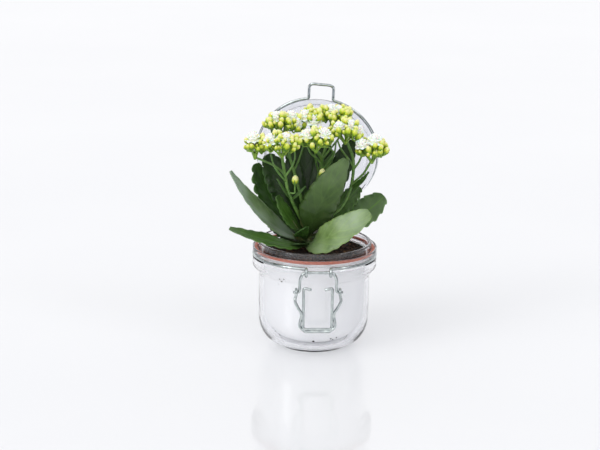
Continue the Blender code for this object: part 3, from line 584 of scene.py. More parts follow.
def jar_profile():
    outside = [(0, 0.9 * MM), (FOOT_RADIUS - 6.0 * MM, 0.7 * MM), (FOOT_RADIUS - 3.6 * MM, 0)]
    outside += [(FOOT_RADIUS - 0.2 * MM, 0), (FOOT_RADIUS + 0.2 * MM, FOOT_HEIGHT)]
    outside += arc(BODY_RADIUS - HEEL_REACH, HEEL_HEIGHT, HEEL_REACH, HEEL_HEIGHT - FOOT_HEIGHT, -90, 0, 20)
    for i in range(13):
        radius = BODY_RADIUS + SHOULDER_STEP * smooth_share(i / 12)
        outside.append((radius, SHOULDER_Z + SHOULDER_HEIGHT * i / 12))
    outside += [
        (COLLAR_RADIUS, GROOVE_BOTTOM - COLLAR_EDGE / 2),
        (COLLAR_RADIUS - COLLAR_EDGE, GROOVE_BOTTOM),
        (GROOVE_RADIUS, GROOVE_BOTTOM),
        (GROOVE_RADIUS, GROOVE_TOP),
        (COLLAR_RADIUS, GROOVE_TOP),
        (COLLAR_RADIUS, CHANNEL_Z + BEAD_HEIGHT),
        (CHANNEL_OUTSIDE, CHANNEL_Z + BEAD_HEIGHT),
        (CHANNEL_OUTSIDE, CHANNEL_Z),
        (LIP_OUTSIDE, CHANNEL_Z),
    ]
    lip_middle = (LIP_OUTSIDE + NECK_INSIDE) / 2
    outside += arc(lip_middle, JAR_HEIGHT - LIP_WALL / 2, LIP_WALL / 2, LIP_WALL / 2, 0, 180, 12)
    centre, depth = BODY_INSIDE - INNER_HEEL_REACH, HEEL_HEIGHT - GLASS_FLOOR
    inside = [(NECK_INSIDE, COLLAR_Z), (BODY_INSIDE, SHOULDER_Z)]
    inside += arc(centre, HEEL_HEIGHT, INNER_HEEL_REACH, depth, 0, -90, 20)
    return outside + inside + [(0, GLASS_FLOOR)]


def rubber_gasket(rubber):
    inner, low = LIP_OUTSIDE + GAP, CHANNEL_Z + GAP
    outer, high = inner + GASKET_WIDTH, low + GASKET_THICKNESS
    mesh = turned_mesh([(outer, high), (outer, low), (inner, low), (inner, high)], corner=0.7 * MM)
    add_piece("rubber_gasket", mesh, rubber)


def inner_pot(finish):
    """Thin liner: rounder at its foot than the glass, and flared into the neck, where it holds the soil."""
    centre = BODY_INSIDE - INNER_HEEL_REACH - HEEL_EASE
    base = GLASS_FLOOR + LINER_PLAY + 1.2 * MM
    outer_r = INNER_HEEL_REACH - LINER_PLAY + HEEL_EASE
    inner_r = INNER_HEEL_REACH - LINER_PLAY - LINER_WALL + HEEL_EASE
    heel_z = HEEL_HEIGHT + 2 * HEEL_EASE
    outer_z = heel_z - base
    flare, brim = LINER_TOP - 1.0 * MM, SOIL_EDGE_Z - 0.2 * MM
    brim_r = NECK_INSIDE - GAP
    profile = [(0, base)] + arc(centre, heel_z, outer_r, outer_z, -90, 0, 20)
    profile += [(centre + outer_r, flare - 1.5 * MM), (brim_r, flare + 1.0 * MM), (brim_r, brim)]
    profile += [(brim_r - LINER_WALL, brim), (brim_r - LINER_WALL, flare + 1.5 * MM)]
    profile += [(centre + inner_r, flare - 1.0 * MM)]
    profile += arc(centre, heel_z, inner_r, outer_z - LINER_WALL, 0, -90, 20)
    mesh = turned_mesh(profile + [(0, base + LINER_WALL)], corner=0.3 * MM)
    add_piece("inner_pot", mesh, finish)


def soil_height(x, y):
    share = sqrt(x * x + y * y) / (NECK_INSIDE - GAP)
    lumps = noise.fractal(Vector((x, y, 0.3)) * 120, 0.9, 2.2, 4)
    edge = 1 - smooth_share((share - 0.86) / 0.14)
    return SOIL_EDGE_Z + SOIL_CROWN * (1 - share**2) - 0.5 * MM + 0.9 * MM * lumps * (0.3 + 0.7 * edge)


def crumb(draw, size):
    """Rough lump: a coarse ball pushed about."""
    rings, along = [], []
    for i in range(1, 4):
        polar = pi * i / 4
        ring = []
        for a in turns(5):
            r = size * draw.uniform(0.65, 1.2)
            ring.append((r * sin(polar) * cos(a), r * sin(polar) * sin(a), -0.8 * r * cos(polar)))
        rings.append(ring)
        along += [i / 4] * 5
    return lofted(rings, along, [0.0] * len(along))


def potting_soil(finish):
    """Lumpy bed of compost with loose crumbs and fibres on it."""
    draw = random.Random(SOIL_SEED)
    bed = Gather()
    edge_radius = NECK_INSIDE - GAP - LINER_WALL - 0.1 * MM
    steps, around = 44, 120
    circle = turns(around)
    rings = [[(edge_radius * cos(a), edge_radius * sin(a), LINER_TOP + 1.0 * MM) for a in circle]]
    for i in range(steps):
        radius = edge_radius * (1 - i / steps)
        flat = [(radius * cos(a), radius * sin(a)) for a in circle]
        rings.append([(x, y, soil_height(x, y)) for x, y in flat])
    plain = [0.0] * (around * len(rings))
    bed.add(*lofted(rings, plain, plain, (0, 0, soil_height(0, 0))), 0.15)
    for _ in range(CRUMBS):
        size = draw.choice((0.35, 0.5, 0.7, 1.1)) * MM
        radius = (edge_radius - 2.0 * MM) * sqrt(draw.random())
        a = draw.uniform(0, 2 * pi)
        x, y = radius * cos(a), radius * sin(a)
        turn = Matrix.Rotation(draw.uniform(0, 6), 4, "Z") @ Matrix.Rotation(draw.uniform(0, 2), 4, "X")
        place = Matrix.Translation((x, y, soil_height(x, y) + 0.4 * size)) @ turn
        bed.place(crumb(draw, size), place, draw.random() ** 2)
    for _ in range(FIBRES):
        length = draw.uniform(3, 11) * MM
        radius = (edge_radius - 6.0 * MM) * sqrt(draw.random())
        a, heading = draw.uniform(0, 2 * pi), draw.uniform(0, 2 * pi)
        path = []
        for i in range(5):
            s = (i / 4 - 0.5) * length
            bend = 1.2 * MM * sin(i * 1.3 + a)
            x = radius * cos(a) + s * cos(heading) - bend * sin(heading)
            y = radius * sin(a) + s * sin(heading) + bend * cos(heading)
            path.append((x, y, soil_height(x, y) + draw.uniform(0.1, 0.9) * MM))
        width = draw.uniform(0.10, 0.24) * MM
        bed.add(*sweep(path, lambda t: width * (1 - 0.6 * t), 5), draw.uniform(0.45, 1.0))
    add_piece("potting_soil", bed.mesh(), finish)


# Specks of soil on the outside of the glass: degrees round from the latch towards +X, height, size.
GLASS_SPECKS = [
    (-39.3, 63.6, 0.55), (-37.9, 60.8, 0.8), (-34.4, 64.2, 0.5), (-42.0, 57.5, 0.3), (-2.9, 13.8, 0.85),
    (15.2, 15.7, 0.6), (17.6, 15.0, 0.45), (21.8, 16.2, 0.5), (-46.3, 18.3, 0.4), (-49.5, 20.0, 0.3),
]


def glass_specks(finish):
    draw = random.Random(SPECK_SEED)
    specks = Gather()
    for angle, height, size in GLASS_SPECKS:
        a, height = radians(angle - 90), height * MM
        radius = BODY_RADIUS
        if height < HEEL_HEIGHT:
            drop = (HEEL_HEIGHT - height) / (HEEL_HEIGHT - FOOT_HEIGHT)
            radius = BODY_RADIUS - HEEL_REACH + HEEL_REACH * sqrt(1 - drop**2)
        radius += 0.05 * MM
        place = Matrix.Translation((radius * cos(a), radius * sin(a), height)) @ Matrix.Rotation(a, 4, "Z")
        flat = Matrix.Diagonal((0.35, 1.0, 1.0, 1.0))
        specks.place(crumb(draw, SPECK_SCALE * size * MM), place @ flat, draw.uniform(0.1, 0.4))
    add_piece(None, specks.mesh(), finish, name="soil_specks")


# ---------------------------------------------------------------- wires and lid


def eye(pivot, x, ring_radius, target):
    """Open wire curl about an X axis through the pivot, that leaves it in a straight line to the target."""
    to_target = Vector((0, target[1] - pivot.y, target[2] - pivot.z))
    leave = atan2(to_target.z, to_target.y) - acos(ring_radius / to_target.length)
    steps = 24
    angles = [leave - EYE_TURN + EYE_TURN * i / steps for i in range(steps + 1)]
    return [Vector((x, pivot.y + ring_radius * cos(a), pivot.z + ring_radius * sin(a))) for a in angles]


def ring_points(radius, z, start, end):
    return [Vector((x, y, z)) for x, y in arc(0, 0, radius, radius, start, end, 60)]


def mirrored(points):
    """The points in reverse, on the other side of x = 0."""
    return [(-x, y, z) for x, y, z in reversed(points)]


def add_wire(node, paths, radius, steel, body="jar"):
    wire = Gather()
    for path in paths:
        kept = [path[0]]
        for point in path[1:]:
            if (Vector(point) - Vector(kept[-1])).length > 0.05 * MM:
                kept.append(point)
        wire.add(*sweep(kept, lambda t: radius, 14), 0.5)
    add_piece(node, wire.mesh(), steel, body)


def neck_wire(steel):
    eye_x, bar_x = EYE_SPACING / 2, HINGE_BAR_WIDTH / 2
    ring_radius = BAIL_WIRE_RADIUS + LATCH_WIRE_RADIUS + PIVOT_PLAY
    front, back = (degrees(acos(x / NECK_WIRE_RADIUS)) for x in (eye_x, bar_x))
    half = ring_points(NECK_WIRE_RADIUS, NECK_WIRE_Z, -front, back)
    curl = eye(LATCH_PIVOT, eye_x, ring_radius, half[0])
    bend = rounded([curl[-1], half[0], half[2]], 1.6 * MM)
    bar_y = LID_HINGE.y
    turn = rounded([half[-3], half[-1], (bar_x, bar_y, NECK_WIRE_Z), (0, bar_y, NECK_WIRE_Z)], 2.4 * MM)
    right = curl[:-1] + bend[:-1] + half[3:-4] + turn
    add_wire("neck_wire", [right + mirrored(right[:-1])], BAIL_WIRE_RADIUS, steel)


def latch_link(steel):
    _, y, top = LATCH_PIVOT
    leg_x = LINK_WIDTH / 2
    pin_x = LEVER_EYE_SPACING / 2 + LATCH_WIRE_RADIUS + GAP + 0.8 * MM
    side = [(pin_x, y, LEVER_PIVOT.z), (leg_x, y, LEVER_PIVOT.z)]
    side += [(leg_x, y, top - 5.4 * MM), (leg_x - 2.6 * MM, y, top), (0, y, top)]
    path = rounded(side + mirrored(side[:-1]), 2.6 * MM, 8)
    add_wire("latch_link", [path], LATCH_WIRE_RADIUS, steel, "latch_link")


def latch_lever(steel):
    """Outer lyre-shaped wire whose eyes turn on the link's pins, and an inner hook wire on its foot."""
    _, y, top = LEVER_PIVOT
    eye_x, hook_x = LEVER_EYE_SPACING / 2, HOOK_SPACING / 2
    ring_radius = 2 * LATCH_WIRE_RADIUS + PIVOT_PLAY
    foot_z = top - LEVER_LENGTH
    plane = y + 0.4 * MM
    curl = eye(LEVER_PIVOT, eye_x, ring_radius, Vector((eye_x, y + ring_radius, top - 3 * ring_radius)))
    down = [
        (LEVER_BULGE_WIDTH / 2 - 0.3 * MM, -1.0, 0.12),
        (LEVER_BULGE_WIDTH / 2 - 0.2 * MM, -1.8, 0.22),
        (LEVER_BULGE_WIDTH / 2 - 2.3 * MM, -1.0, 0.37),
        (LEVER_WAIST_WIDTH / 2 + 0.2 * MM, 0, 0.56),
        (LEVER_FLARE_WIDTH / 2, 0.4, 0.8),
    ]
    side = [(x, y + out * MM, top - share * LEVER_LENGTH) for x, out, share in down]
    side += [(0.92 * LEVER_FLARE_WIDTH / 2, plane, foot_z + 2.6 * MM), (LEVER_BAR_WIDTH / 2, plane, foot_z)]
    right = curl[:-1] + smooth_path([curl[-1], *side], 8)
    bar_z = foot_z + 1.8 * LATCH_WIRE_RADIUS
    hook = [(hook_x - HOOK_REACH, y - 1.6 * MM, top + HOOK_RISE - 1.2 * MM), (hook_x, plane, top + HOOK_RISE)]
    hook += [(hook_x, plane, bar_z), (0, plane, bar_z)]
    inner = rounded(hook + mirrored(hook[:-1]), 2.2 * MM, 8)
    add_wire("latch_lever", [right + mirrored(right), inner], LATCH_WIRE_RADIUS, steel, "latch_lever")


def lid_matrix():
    """Takes the lid from shut, about its hinge, to where it stands open."""
    tip, twist, lean = ((-LID_OPEN_ANGLE, "X"), (LID_TWIST, "Y"), (LID_LEAN, "Z"))
    turn = Matrix.Rotation(tip[0], 4, tip[1]) @ Matrix.Rotation(twist[0], 4, twist[1])
    turn = turn @ Matrix.Rotation(lean[0], 4, lean[1])
    return Matrix.Translation(LID_HINGE) @ turn @ Matrix.Translation((0, -LID_HINGE.y, LID_RING_RISE))


def lid_profile():
    groove = LID_WIRE_RING - BAIL_WIRE_RADIUS - GAP
    groove_half = BAIL_WIRE_RADIUS + GAP
    seal = LID_RADIUS - 1.6 * MM
    inner = seal - LID_SKIRT_WALL
    panel_low = -groove_half - 0.6 * MM
    panel_high = panel_low + LID_PANEL
    return [
        (0, panel_high - 1.2 * MM),
        (18 * MM, panel_high - 0.9 * MM),
        (inner - 4 * MM, panel_high),
        (inner + 1 * MM, groove_half + 1.2 * MM),
        (groove - 1.2 * MM, groove_half + 1.0 * MM),
        (groove, groove_half),
        (groove, -groove_half),
        (LID_RADIUS, -groove_half),
        (LID_RADIUS, -groove_half - 2.6 * MM),
        (seal, -LID_SKIRT + 1.0 * MM),
        (seal - 1.0 * MM, -LID_SKIRT),
        (inner + 0.8 * MM, -LID_SKIRT),
        (inner, -LID_SKIRT + 0.8 * MM),
        (inner - 0.8 * MM, panel_low - 1.6 * MM),
        (inner - 3.0 * MM, panel_low),
        (26 * MM, panel_low),
        (24.5 * MM, panel_low - 1.4 * MM),
        (23 * MM, panel_low),
        (0, panel_low - 0.3 * MM),
    ]


def glass_lid(glass):
    mesh = turned_mesh(lid_profile()[::-1], corner=0.9 * MM)
    mesh.transform(lid_matrix())
    add_piece("glass_lid", mesh, glass, "lid")


def lid_wire(steel):
    place = lid_matrix()
    back, front = (degrees(acos(width / 2 / LID_WIRE_RING)) for width in (LID_LEG_SPACING, LOOP_WIDTH))
    ring_radius = 2 * BAIL_WIRE_RADIUS + PIVOT_PLAY

    def side(sign):
        half = [Vector((sign * p.x, p.y, 0)) for p in ring_points(LID_WIRE_RING, 0, back, -front)]
        tip = half[-1] + Vector((0, -3 * MM, 0))
        far = tip + LOOP_REACH * Vector((0, -cos(LOOP_BEND), -sin(LOOP_BEND)))
        loop = rounded([half[-4], half[-1], tip, far, (0, far.y, far.z)], LOOP_CORNER, 8)
        ring = [place @ p for p in half[3:-5] + loop]
        start = place @ half[0]
        curl = eye(LID_HINGE, sign * LID_LEG_SPACING / 2, ring_radius, start)
        return curl[:-1] + rounded([curl[-1], start, ring[0]], 2.0 * MM)[:-1] + ring

    add_wire("lid_wire", [side(1)[:-1] + side(-1)[::-1]], BAIL_WIRE_RADIUS, steel, "lid")


# ---------------------------------------------------------------- leaves and stalks


def planted(point):
    return Vector((point[0] * MM, point[1] * MM, STEM_Z + point[2] * MM))


def stem_point(angle, rise, out):
    return Vector((STEM_X + out * cos(radians(angle)), STEM_Y + out * sin(radians(angle)), STEM_Z + rise))


# Each leaf: angle round the stem and rise up it, its bend and its tip, its width, its facing, its cupping,
# where along it it is widest, how pointed its tip is (0.5 round, 1 sharp), its tint, the size of its teeth.
LEAVES = {
    "low_left": (
        215, 2.0, (-24, -40, 8.5), (-68.4, -30, 22.8), 20, (0.1, -0.25, 1), 0.15, 0.5, 0.8, "mid", 0.7),
    "front_low": (
        232, 6.6, (-15, -19, 14.5), (-9, -28, 23.5), 12, (-0.2, -0.1, 1), 0.10, 0.6, 0.6, "deep", 0.7),
    "rear_right": (
        50, 2.0, (20, 28, 13.3), (36, 38, 25.3), 20, (-0.3, -0.4, 1), 0.15, 0.6, 0.5, "deep", 0.9),
    "rear_left": (
        130, 2.0, (-26, 28, 13.3), (-40, 36, 25.3), 20, (0.3, -0.4, 1), 0.15, 0.6, 0.5, "deep", 0.9),
    "front_right": (
        285, 4.4, (-9, -45, 6.5), (39.5, -40, 38.8), 24, (-0.25, -0.75, 0.6), 0.12, 0.62, 0.55, "pale", 0.7),
    "rear": (
        90, 5.4, (-3, 36, 13.3), (0, 50, 27.3), 22, (0, -0.6, 1), 0.15, 0.6, 0.5, "mid", 0.9),
    "long_left": (
        188, 5.4, (-43, -8, 15.5), (-68, -9, 63.3), 24, (0.75, -0.32, 0.6), 0.30, 0.45, 1.2, "waxy", 0.5),
    "right": (
        8, 8.8, (31, 9, 12.8), (55.6, 8, 39.5), 28, (-0.35, -0.6, 0.7), 0.15, 0.6, 0.5, "fresh", 1.3),
    "back_left_outer": (
        160, 8.8, (-38, 17, 25.3), (-47, 20, 63.3), 23, (0.6, -0.75, 0.3), 0.15, 0.55, 0.6, "deep", 1.4),
    "front_upright": (
        268, 8.8, (-5.5, -27, 31.3), (21.5, -25, 77.3), 28, (0.1, 1.0, 0.3), 0.20, 0.46, 0.8, "back", 0.7),
    "right_inner": (
        30, 12.2, (21, 15, 25.3), (36, 18, 45.3), 17, (-0.4, -0.8, 0.4), 0.12, 0.6, 0.6, "mid", 1.0),
    "inner_left": (
        205, 12.2, (-21, -9, 20.3), (-31, -7, 43.3), 15, (0.6, -0.5, 0.5), 0.15, 0.55, 0.7, "mid", 0.7),
    "back_left_inner": (
        148, 12.2, (-24, 13, 41.3), (-39, 11, 72.3), 26, (0.35, -0.9, 0.3), 0.15, 0.55, 0.65, "dark", 1.0),
    "narrow_right": (
        332, 12.2, (12, -9, 33.3), (25, -11, 73.3), 13, (-0.9, -0.2, 0.4), 0.20, 0.5, 0.8, "deep", 0.7),
    "back_center": (
        105, 15.6, (-9, 22, 37.3), (-7, 25, 80.3), 28, (0.1, -0.95, 0.25), 0.12, 0.6, 0.55, "dark", 0.9),
    "back_right_tall": (
        55, 15.6, (14, 20, 41.3), (30, 22, 82.3), 20, (-0.3, -0.9, 0.2), 0.12, 0.55, 0.7, "dark", 0.9),
}
# Smaller leaves that fill the middle of the plant, as above but for tint and teeth.
INNER_LEAVES = [
    (70, 13, (5, 16, 42), (9, 22, 80), 17, (-0.1, -0.95, 0.2), 0.12, 0.6, 0.6),
    (135, 13, (-13, 9, 38), (-20.5, 14, 75), 15, (0.2, -0.95, 0.2), 0.12, 0.6, 0.6),
    (190, 1.5, (-24, 2, 8), (-37, 6, 17), 18, (0.2, -0.3, 1), 0.15, 0.55, 0.6),
    (150, 2.5, (-20, 12, 10), (-30, 20, 20), 18, (0.2, -0.3, 1), 0.15, 0.55, 0.6),
    (0, 2.0, (14, 4, 8), (30, 8, 17), 16, (-0.2, -0.3, 1), 0.15, 0.55, 0.6),
    (340, 2.0, (10, -8, 5), (20, -13, 11), 13, (-0.2, -0.2, 1), 0.15, 0.55, 0.6),
    (245, 3.0, (-11, -16, 5), (-17, -25, 9), 13, (0, 0.2, 1), 0.15, 0.55, 0.6),
    (30, 10, (8, 8, 30), (15, 12, 55), 13, (-0.4, -0.8, 0.4), 0.15, 0.55, 0.6),
]


def leaf(number, row, tooth):
    """Fleshy blade with a scalloped margin, a groove down its middle and a slightly wavy surface."""
    angle, rise, bend, tip, width, facing, cup, widest, point = row
    curve = bezier(stem_point(angle, rise * MM, 0.6 * STEM_RADIUS), planted(bend), planted(tip))
    seed = Vector((number * 7.3, 0, 0))

    def plain_half(t):
        share = max(1 - (max(t - widest, 0) / (1 - widest)) ** 2.2, 0.0) ** point
        if t < widest:
            share = smooth_share((t - 0.04) / (widest - 0.06))
        return PETIOLE_WIDTH / 2 + (width * MM - PETIOLE_WIDTH) / 2 * share

    def half_width(t, side):
        reach = smooth_share((t - 0.18) / 0.2) * (1 - smooth_share((t - 0.94) / 0.06))
        phase = (t - 0.1) * TEETH + 0.37 * side + 0.3 * noise.noise(seed + Vector((0, 4 * t, side)))
        lobe = sin(pi * (phase % 1.0) ** 0.6) ** 0.6 - 0.75
        return plain_half(t) + TOOTH_DEPTH * tooth * MM * reach * lobe

    def thickness(t, u):
        return LEAF_THICKNESS * (1.0 - 0.35 * t) * (1 - 0.72 * abs(u) ** 3) * min(1, (1 - abs(u)) * 9 + 0.25)

    def lift(t, u):
        groove = -0.35 * MM * (1 - smooth_share(abs(u) / 0.16)) * (1 - t)
        wave = 1.1 * MM * noise.noise(seed + Vector((2.2 * u, 5 * t, 0.5))) * abs(u) * smooth_share(t / 0.3)
        ruffle = 0.45 * MM * tooth * sin(2 * pi * TEETH * t) * smooth_share((abs(u) - 0.6) / 0.4)
        return cup * plain_half(t) * (abs(u) ** 1.6) + groove + wave + ruffle * smooth_share((t - 0.2) / 0.2)

    return blade(curve, Vector(facing).normalized(), half_width, thickness, lift, 120, 18, 1.2)


def leaves(finishes):
    for number, (name, (*row, tint, tooth)) in enumerate(LEAVES.items()):
        shape = Gather()
        shape.add(*leaf(number, row, tooth), 0.5)
        add_piece("leaf_" + name, shape.mesh(), finishes[tint])
    shape = Gather()
    for number, row in enumerate(INNER_LEAVES):
        shape.add(*leaf(40 + number, row, 0.7), 0.5)
    add_piece(None, shape.mesh(), finishes["dark"], name="inner_leaves")


# Young leaves low on the stem: angle round it, rise, reach, climb, width.
YOUNG_LEAVES = [
    (300, 1.5, 20, 7, 10), (330, 4.0, 22, 12, 11), (15, 2.5, 21, 8, 11), (230, 4.5, 17, 9, 9),
    (350, 9.0, 18, 15, 9), (285, 12.0, 12, 13, 8), (170, 3.0, 20, 7, 10), (200, 10.0, 14, 13, 8),
    (60, 6.0, 18, 10, 10), (110, 7.0, 17, 11, 10), (320, 14.0, 11, 16, 7), (240, 14.0, 10, 14, 7),
]


def main_stem(finish):
    """Stout stem, ringed where leaves leave it."""
    path = [Vector((STEM_X, STEM_Y, STEM_Z + STEM_HEIGHT * i / 40)) for i in range(41)]
    stem = Gather()
    stem.add(*sweep(path, lambda t: STEM_RADIUS * (0.95 - 0.12 * t + 0.05 * abs(sin(5 * pi * t))), 24), 0.2)
    for angle, rise, reach, climb, width in YOUNG_LEAVES:
        start = stem_point(angle, rise * MM, 0.5 * STEM_RADIUS)
        bend = stem_point(angle, (rise + 0.2 * climb) * MM, 0.7 * reach * MM)
        tip = stem_point(angle, (rise + climb) * MM, reach * MM)
        facing = Vector((-0.5 * cos(radians(angle)), -0.5 * sin(radians(angle)), 0.8)).normalized()
        half = lambda t, side: 0.5 * width * MM * (0.25 + 0.75 * sin(pi * min(0.05 + 0.8 * t, 1.0)))
        thickness = lambda t, u: 1.2 * MM * (1 - 0.6 * abs(u)) * (1 - 0.4 * t)
        lift = lambda t, u: 0.12 * width * MM * u * u
        stem.add(*blade(bezier(start, bend, tip), facing, half, thickness, lift, 20, 8, 1.3), 0.3)
    add_piece("main_stem", stem.mesh(), finish)


# Each flower head: its middle, its half widths, its number of buds, and for each open flower its place from
# that middle and its size. A head's place in this table seeds its random draws.
HEADS = {
    "left_front": (
        (-28, -20, 87.3), (14.0, 11.0, 9.5), 44,
        [(-8.2, -1, 3.0, 1.0), (2.1, -2, 3.8, 1.0), (-3, 6, 5.0, 0.9)]),
    "far_left": ((-48.5, -8, 83.3), (8.0, 8.5, 9.5), 26, [(-1.6, -1, 6.0, 0.95)]),
    "back_left": (
        (-26, 9, 99.3), (14.5, 11.0, 9.5), 46,
        [(-5.9, 0, 5.1, 0.95), (5.1, 0, 5.8, 0.95), (9.5, -3, 2.0, 0.8)]),
    "top": ((-3.6, 13, 102.8), (7.8, 8.0, 7.6), 24, [(-4.6, -2, 0.6, 0.95), (1.4, -4, -2.4, 1.0)]),
    "back_right": ((12.5, 18, 105.3), (10.5, 9.5, 8.5), 42, [(-3.6, 0, 4.2, 0.95), (2.6, 1, 3.6, 0.9)]),
    "center": ((-1.5, -14, 89.3), (12.4, 10.5, 8.6), 38, [(-7.0, -2, 4.6, 0.85), (6.0, -2, 5.6, 0.9)]),
    "right_center": (
        (22.5, 1, 93.3), (13.0, 10.0, 9.0), 44,
        [(-5.4, -3, 4.8, 0.75), (3.4, -2, 5.0, 0.9), (9.6, -2, 2.4, 0.75)]),
    "right": ((43.5, -4, 79.8), (12.0, 10.5, 9.5), 40, [(-8.5, -4, 5.2, 0.85), (1.2, -3, 8.0, 1.0)]),
}
# How far a head's buds hang from the middle of its solid, and how much wider they spread.
HEAD_SETTLE = {"back_left": (0.5, 0, -2.2, 1.05), "back_right": (3.0, 0, -3.0, 1.3)}


def head_foot(name, across=0):
    """Where a stalk ends beneath its head."""
    (x, y, z), half = HEADS[name][:2]
    return (x + across, y, z - HEAD_CORE * half[2] - 1.2)


def stalk_routes():
    """Each stalk, from its foot to where it ends."""
    top = STEM_HEIGHT / MM + 1.0
    x, y, r = STEM_X / MM, STEM_Y / MM, STEM_RADIUS / MM
    return {
        "stalk_left": [
            (x - 0.8 * r, y - 0.45 * r, top), (-15.5, -7, 32), (-19.5, -10, 41), (-22.7, -10.5, 49),
            (-25.4, -12, 63), head_foot("left_front")],
        "stalk_center": [
            (x + 0.25 * r, y - 0.85 * r, top), (-1, -1, 39), (3.6, 0, 57), (4.4, -1, 68), (2.5, -6, 76),
            head_foot("center")],
        "stalk_right": [
            (x + 0.9 * r, y + 0.1 * r, top), (9, 0, 24), (19, 0, 31), (25.2, 1, 41), (28.8, 1, 55),
            (29, 1, 71), head_foot("right_center", 1.5)],
        "stalk_back_left": [
            (x - 0.6 * r, y + 0.7 * r, top), (-11, 5, 37), (-16, 7, 56), (-22, 9, 76),
            head_foot("back_left")],
        "stalk_back_right": [
            (x + 0.4 * r, y + 0.95 * r, top), (-1, 9, 39), (4, 14, 61), (9, 17, 81), head_foot("back_right")],
        "branch_far_left": [(-27.6, -10.5, 64), (-36, -10, 69.5), head_foot("far_left")],
        "branch_right": [(31.2, 0, 54), (37.5, -2, 61), head_foot("right", -1)],
        "branch_top": [(3, 14.4, 71), (-2, 13.5, 82), head_foot("top")],
    }


# Where each branch leaves its stalk: the stalk's middle.
BRANCH_FEET = {
    "branch_far_left": (-25.3, -11.6, 61), "branch_right": (28.6, 1, 51.5), "branch_top": (6, 15, 68.5),
}
# Side branches that carry part of a neighbouring head, each starting in the middle of its stalk.
SIDE_BRANCHES = {
    "stalk_left": [
        [(-24.4, -11.3, 56), (-30, -13.5, 63), (-34, -16, 70), (-36.5, -18, 79)],
        [(-24.8, -11.6, 60), (-20, -14, 68), (-18, -17, 75), (-18, -19, 82)],
    ],
    "stalk_center": [
        [(3.6, 0, 57), (8.5, -1, 65), (13.5, -2, 75), (15, -2, 86)],
        [(4.4, -1, 67), (0, -5, 73), (-5, -10, 78), (-8, -12, 84)],
        [(4.0, -0.5, 62), (10, -4, 71), (13, -8, 78), (8, -12, 84)],
    ],
    "stalk_back_left": [
        [(-17.2, 7.3, 60), (-13, 8, 70), (-10, 9, 82), (-12, 10, 93)],
        [(-20, 8.3, 69), (-27, 8, 78), (-33, 9, 86), (-36, 10, 94)],
    ],
    "stalk_back_right": [
        [(6, 15, 68.5), (12, 14, 77), (20, 14, 88), (24, 15, 97)],
        [(3, 13, 57), (0, 8, 68), (-1, 2, 78), (2, -4, 85)],
    ],
    "stalk_right": [
        [(29, 1, 66), (24, 0, 73), (19, -2, 80), (16, -3, 87)],
        [(28.9, 1, 62), (34, 1, 70), (36, 0, 78), (35, 0, 88)],
    ],
}


def stalks(finish):
    for name, route in stalk_routes().items():
        x, y, z = route[0]
        foot = BRANCH_FEET.get(name) or (0.5 * (x + STEM_X / MM), 0.5 * y, z - 3)
        size = STALK_RADIUS * (0.72 if name.startswith("branch") else 1.0)
        path = smooth_path([planted(p) for p in [foot, *route]], 10)
        stalk = Gather()
        stalk.add(*sweep(path, lambda t: size * (1.0 - 0.25 * t) * (1 + 0.06 * sin(9 * t)), 14), 0.4)
        for side in SIDE_BRANCHES.get(name, []):
            path = smooth_path([planted(p) for p in side], 8)
            stalk.add(*sweep(path, lambda t: 0.62 * STALK_RADIUS * (1.0 - 0.3 * t), 10), 0.3)
        add_piece(name, stalk.mesh(), finish)


def beside(anchor, *points):
    """Points that keep their distance from the middle of their stalk."""
    return [planted(anchor) + Vector([(p - a) * MM for p, a in zip(point, anchor)]) for point in points]


# Small leaves on the stalks: the stalk's middle beside them, foot, bend, tip, width, facing.
BRACTS = {
    "left_low": (
        (-20.4, -10.1, 43), (-22.6, -12.2, 43.0), (-25, -13, 47.3), (-31.5, -12, 58.3), 4.2, (1, -0.5, 0.4)),
    "left_inner": (
        (-19.6, -10, 41.3), (-17.2, -11.2, 41.3), (-13, -12, 47.3), (-8.5, -12, 52.3), 4.0, (-1, -0.5, 0.4)),
    "right_low": (
        (27.6, 1, 49.3), (31.0, -1.2, 49.3), (36, -2, 52.3), (41.5, -3, 62.3), 4.6, (-0.5, -0.8, 0.5)),
    "center": (
        (4.4, -1, 67.8), (6.9, -1.4, 67.8), (11, -2, 71.3), (13, -3, 78.3), 3.8, (-0.6, -0.7, 0.4)),
}


def bracts(finish):
    for name, (anchor, *places, width, facing) in BRACTS.items():
        foot, bend, tip = beside(anchor, *places)
        curve = bezier(planted(anchor).lerp(foot, 0.4), bend, tip)
        half = lambda t, side: 0.5 * width * MM * (0.42 + 0.58 * sin(pi * min(t + 0.12, 1.0)))
        thickness = lambda t, u: 0.9 * MM * (1 - 0.6 * abs(u))
        lift = lambda t, u: 0.5 * MM * abs(u) ** 1.5
        shape = Gather()
        shape.add(*blade(curve, Vector(facing).normalized(), half, thickness, lift, 28, 8, 1.2), 0.5)
        add_piece("bract_" + name, shape.mesh(), finish)


# ---------------------------------------------------------------- flowers

UP = Vector((0, 0, 1))
# Millimetres from a bud's or a flower's place to its foot, and from there to the end of its stalk.
BUD_FOOT, FLOWER_FOOT, CALYX_FOOT = 3.4, 2.0, 1.2
FLOWER_SIZE = 1.2
FLOWER_GAP, BUD_GAP = 4.8 * MM, 3.1 * MM  # least distance of a bud from an open flower, and from a bud


def bud_template():
    """Closed bud: four petals folded in a spiral, its foot at the origin."""
    profile = [(0.7, 0.0), (1.35, 0.5), (1.9, 1.3), (2.3, 2.3), (2.5, 3.4), (2.42, 4.4)]
    profile += [(2.05, 5.3), (1.5, 6.0), (0.8, 6.6), (0.0, 6.9)]
    shape = Gather()
    shape.add(*lathe(profile, 16, lobes=4, depth=0.13, turn=0.5), 0)
    return shape.template()


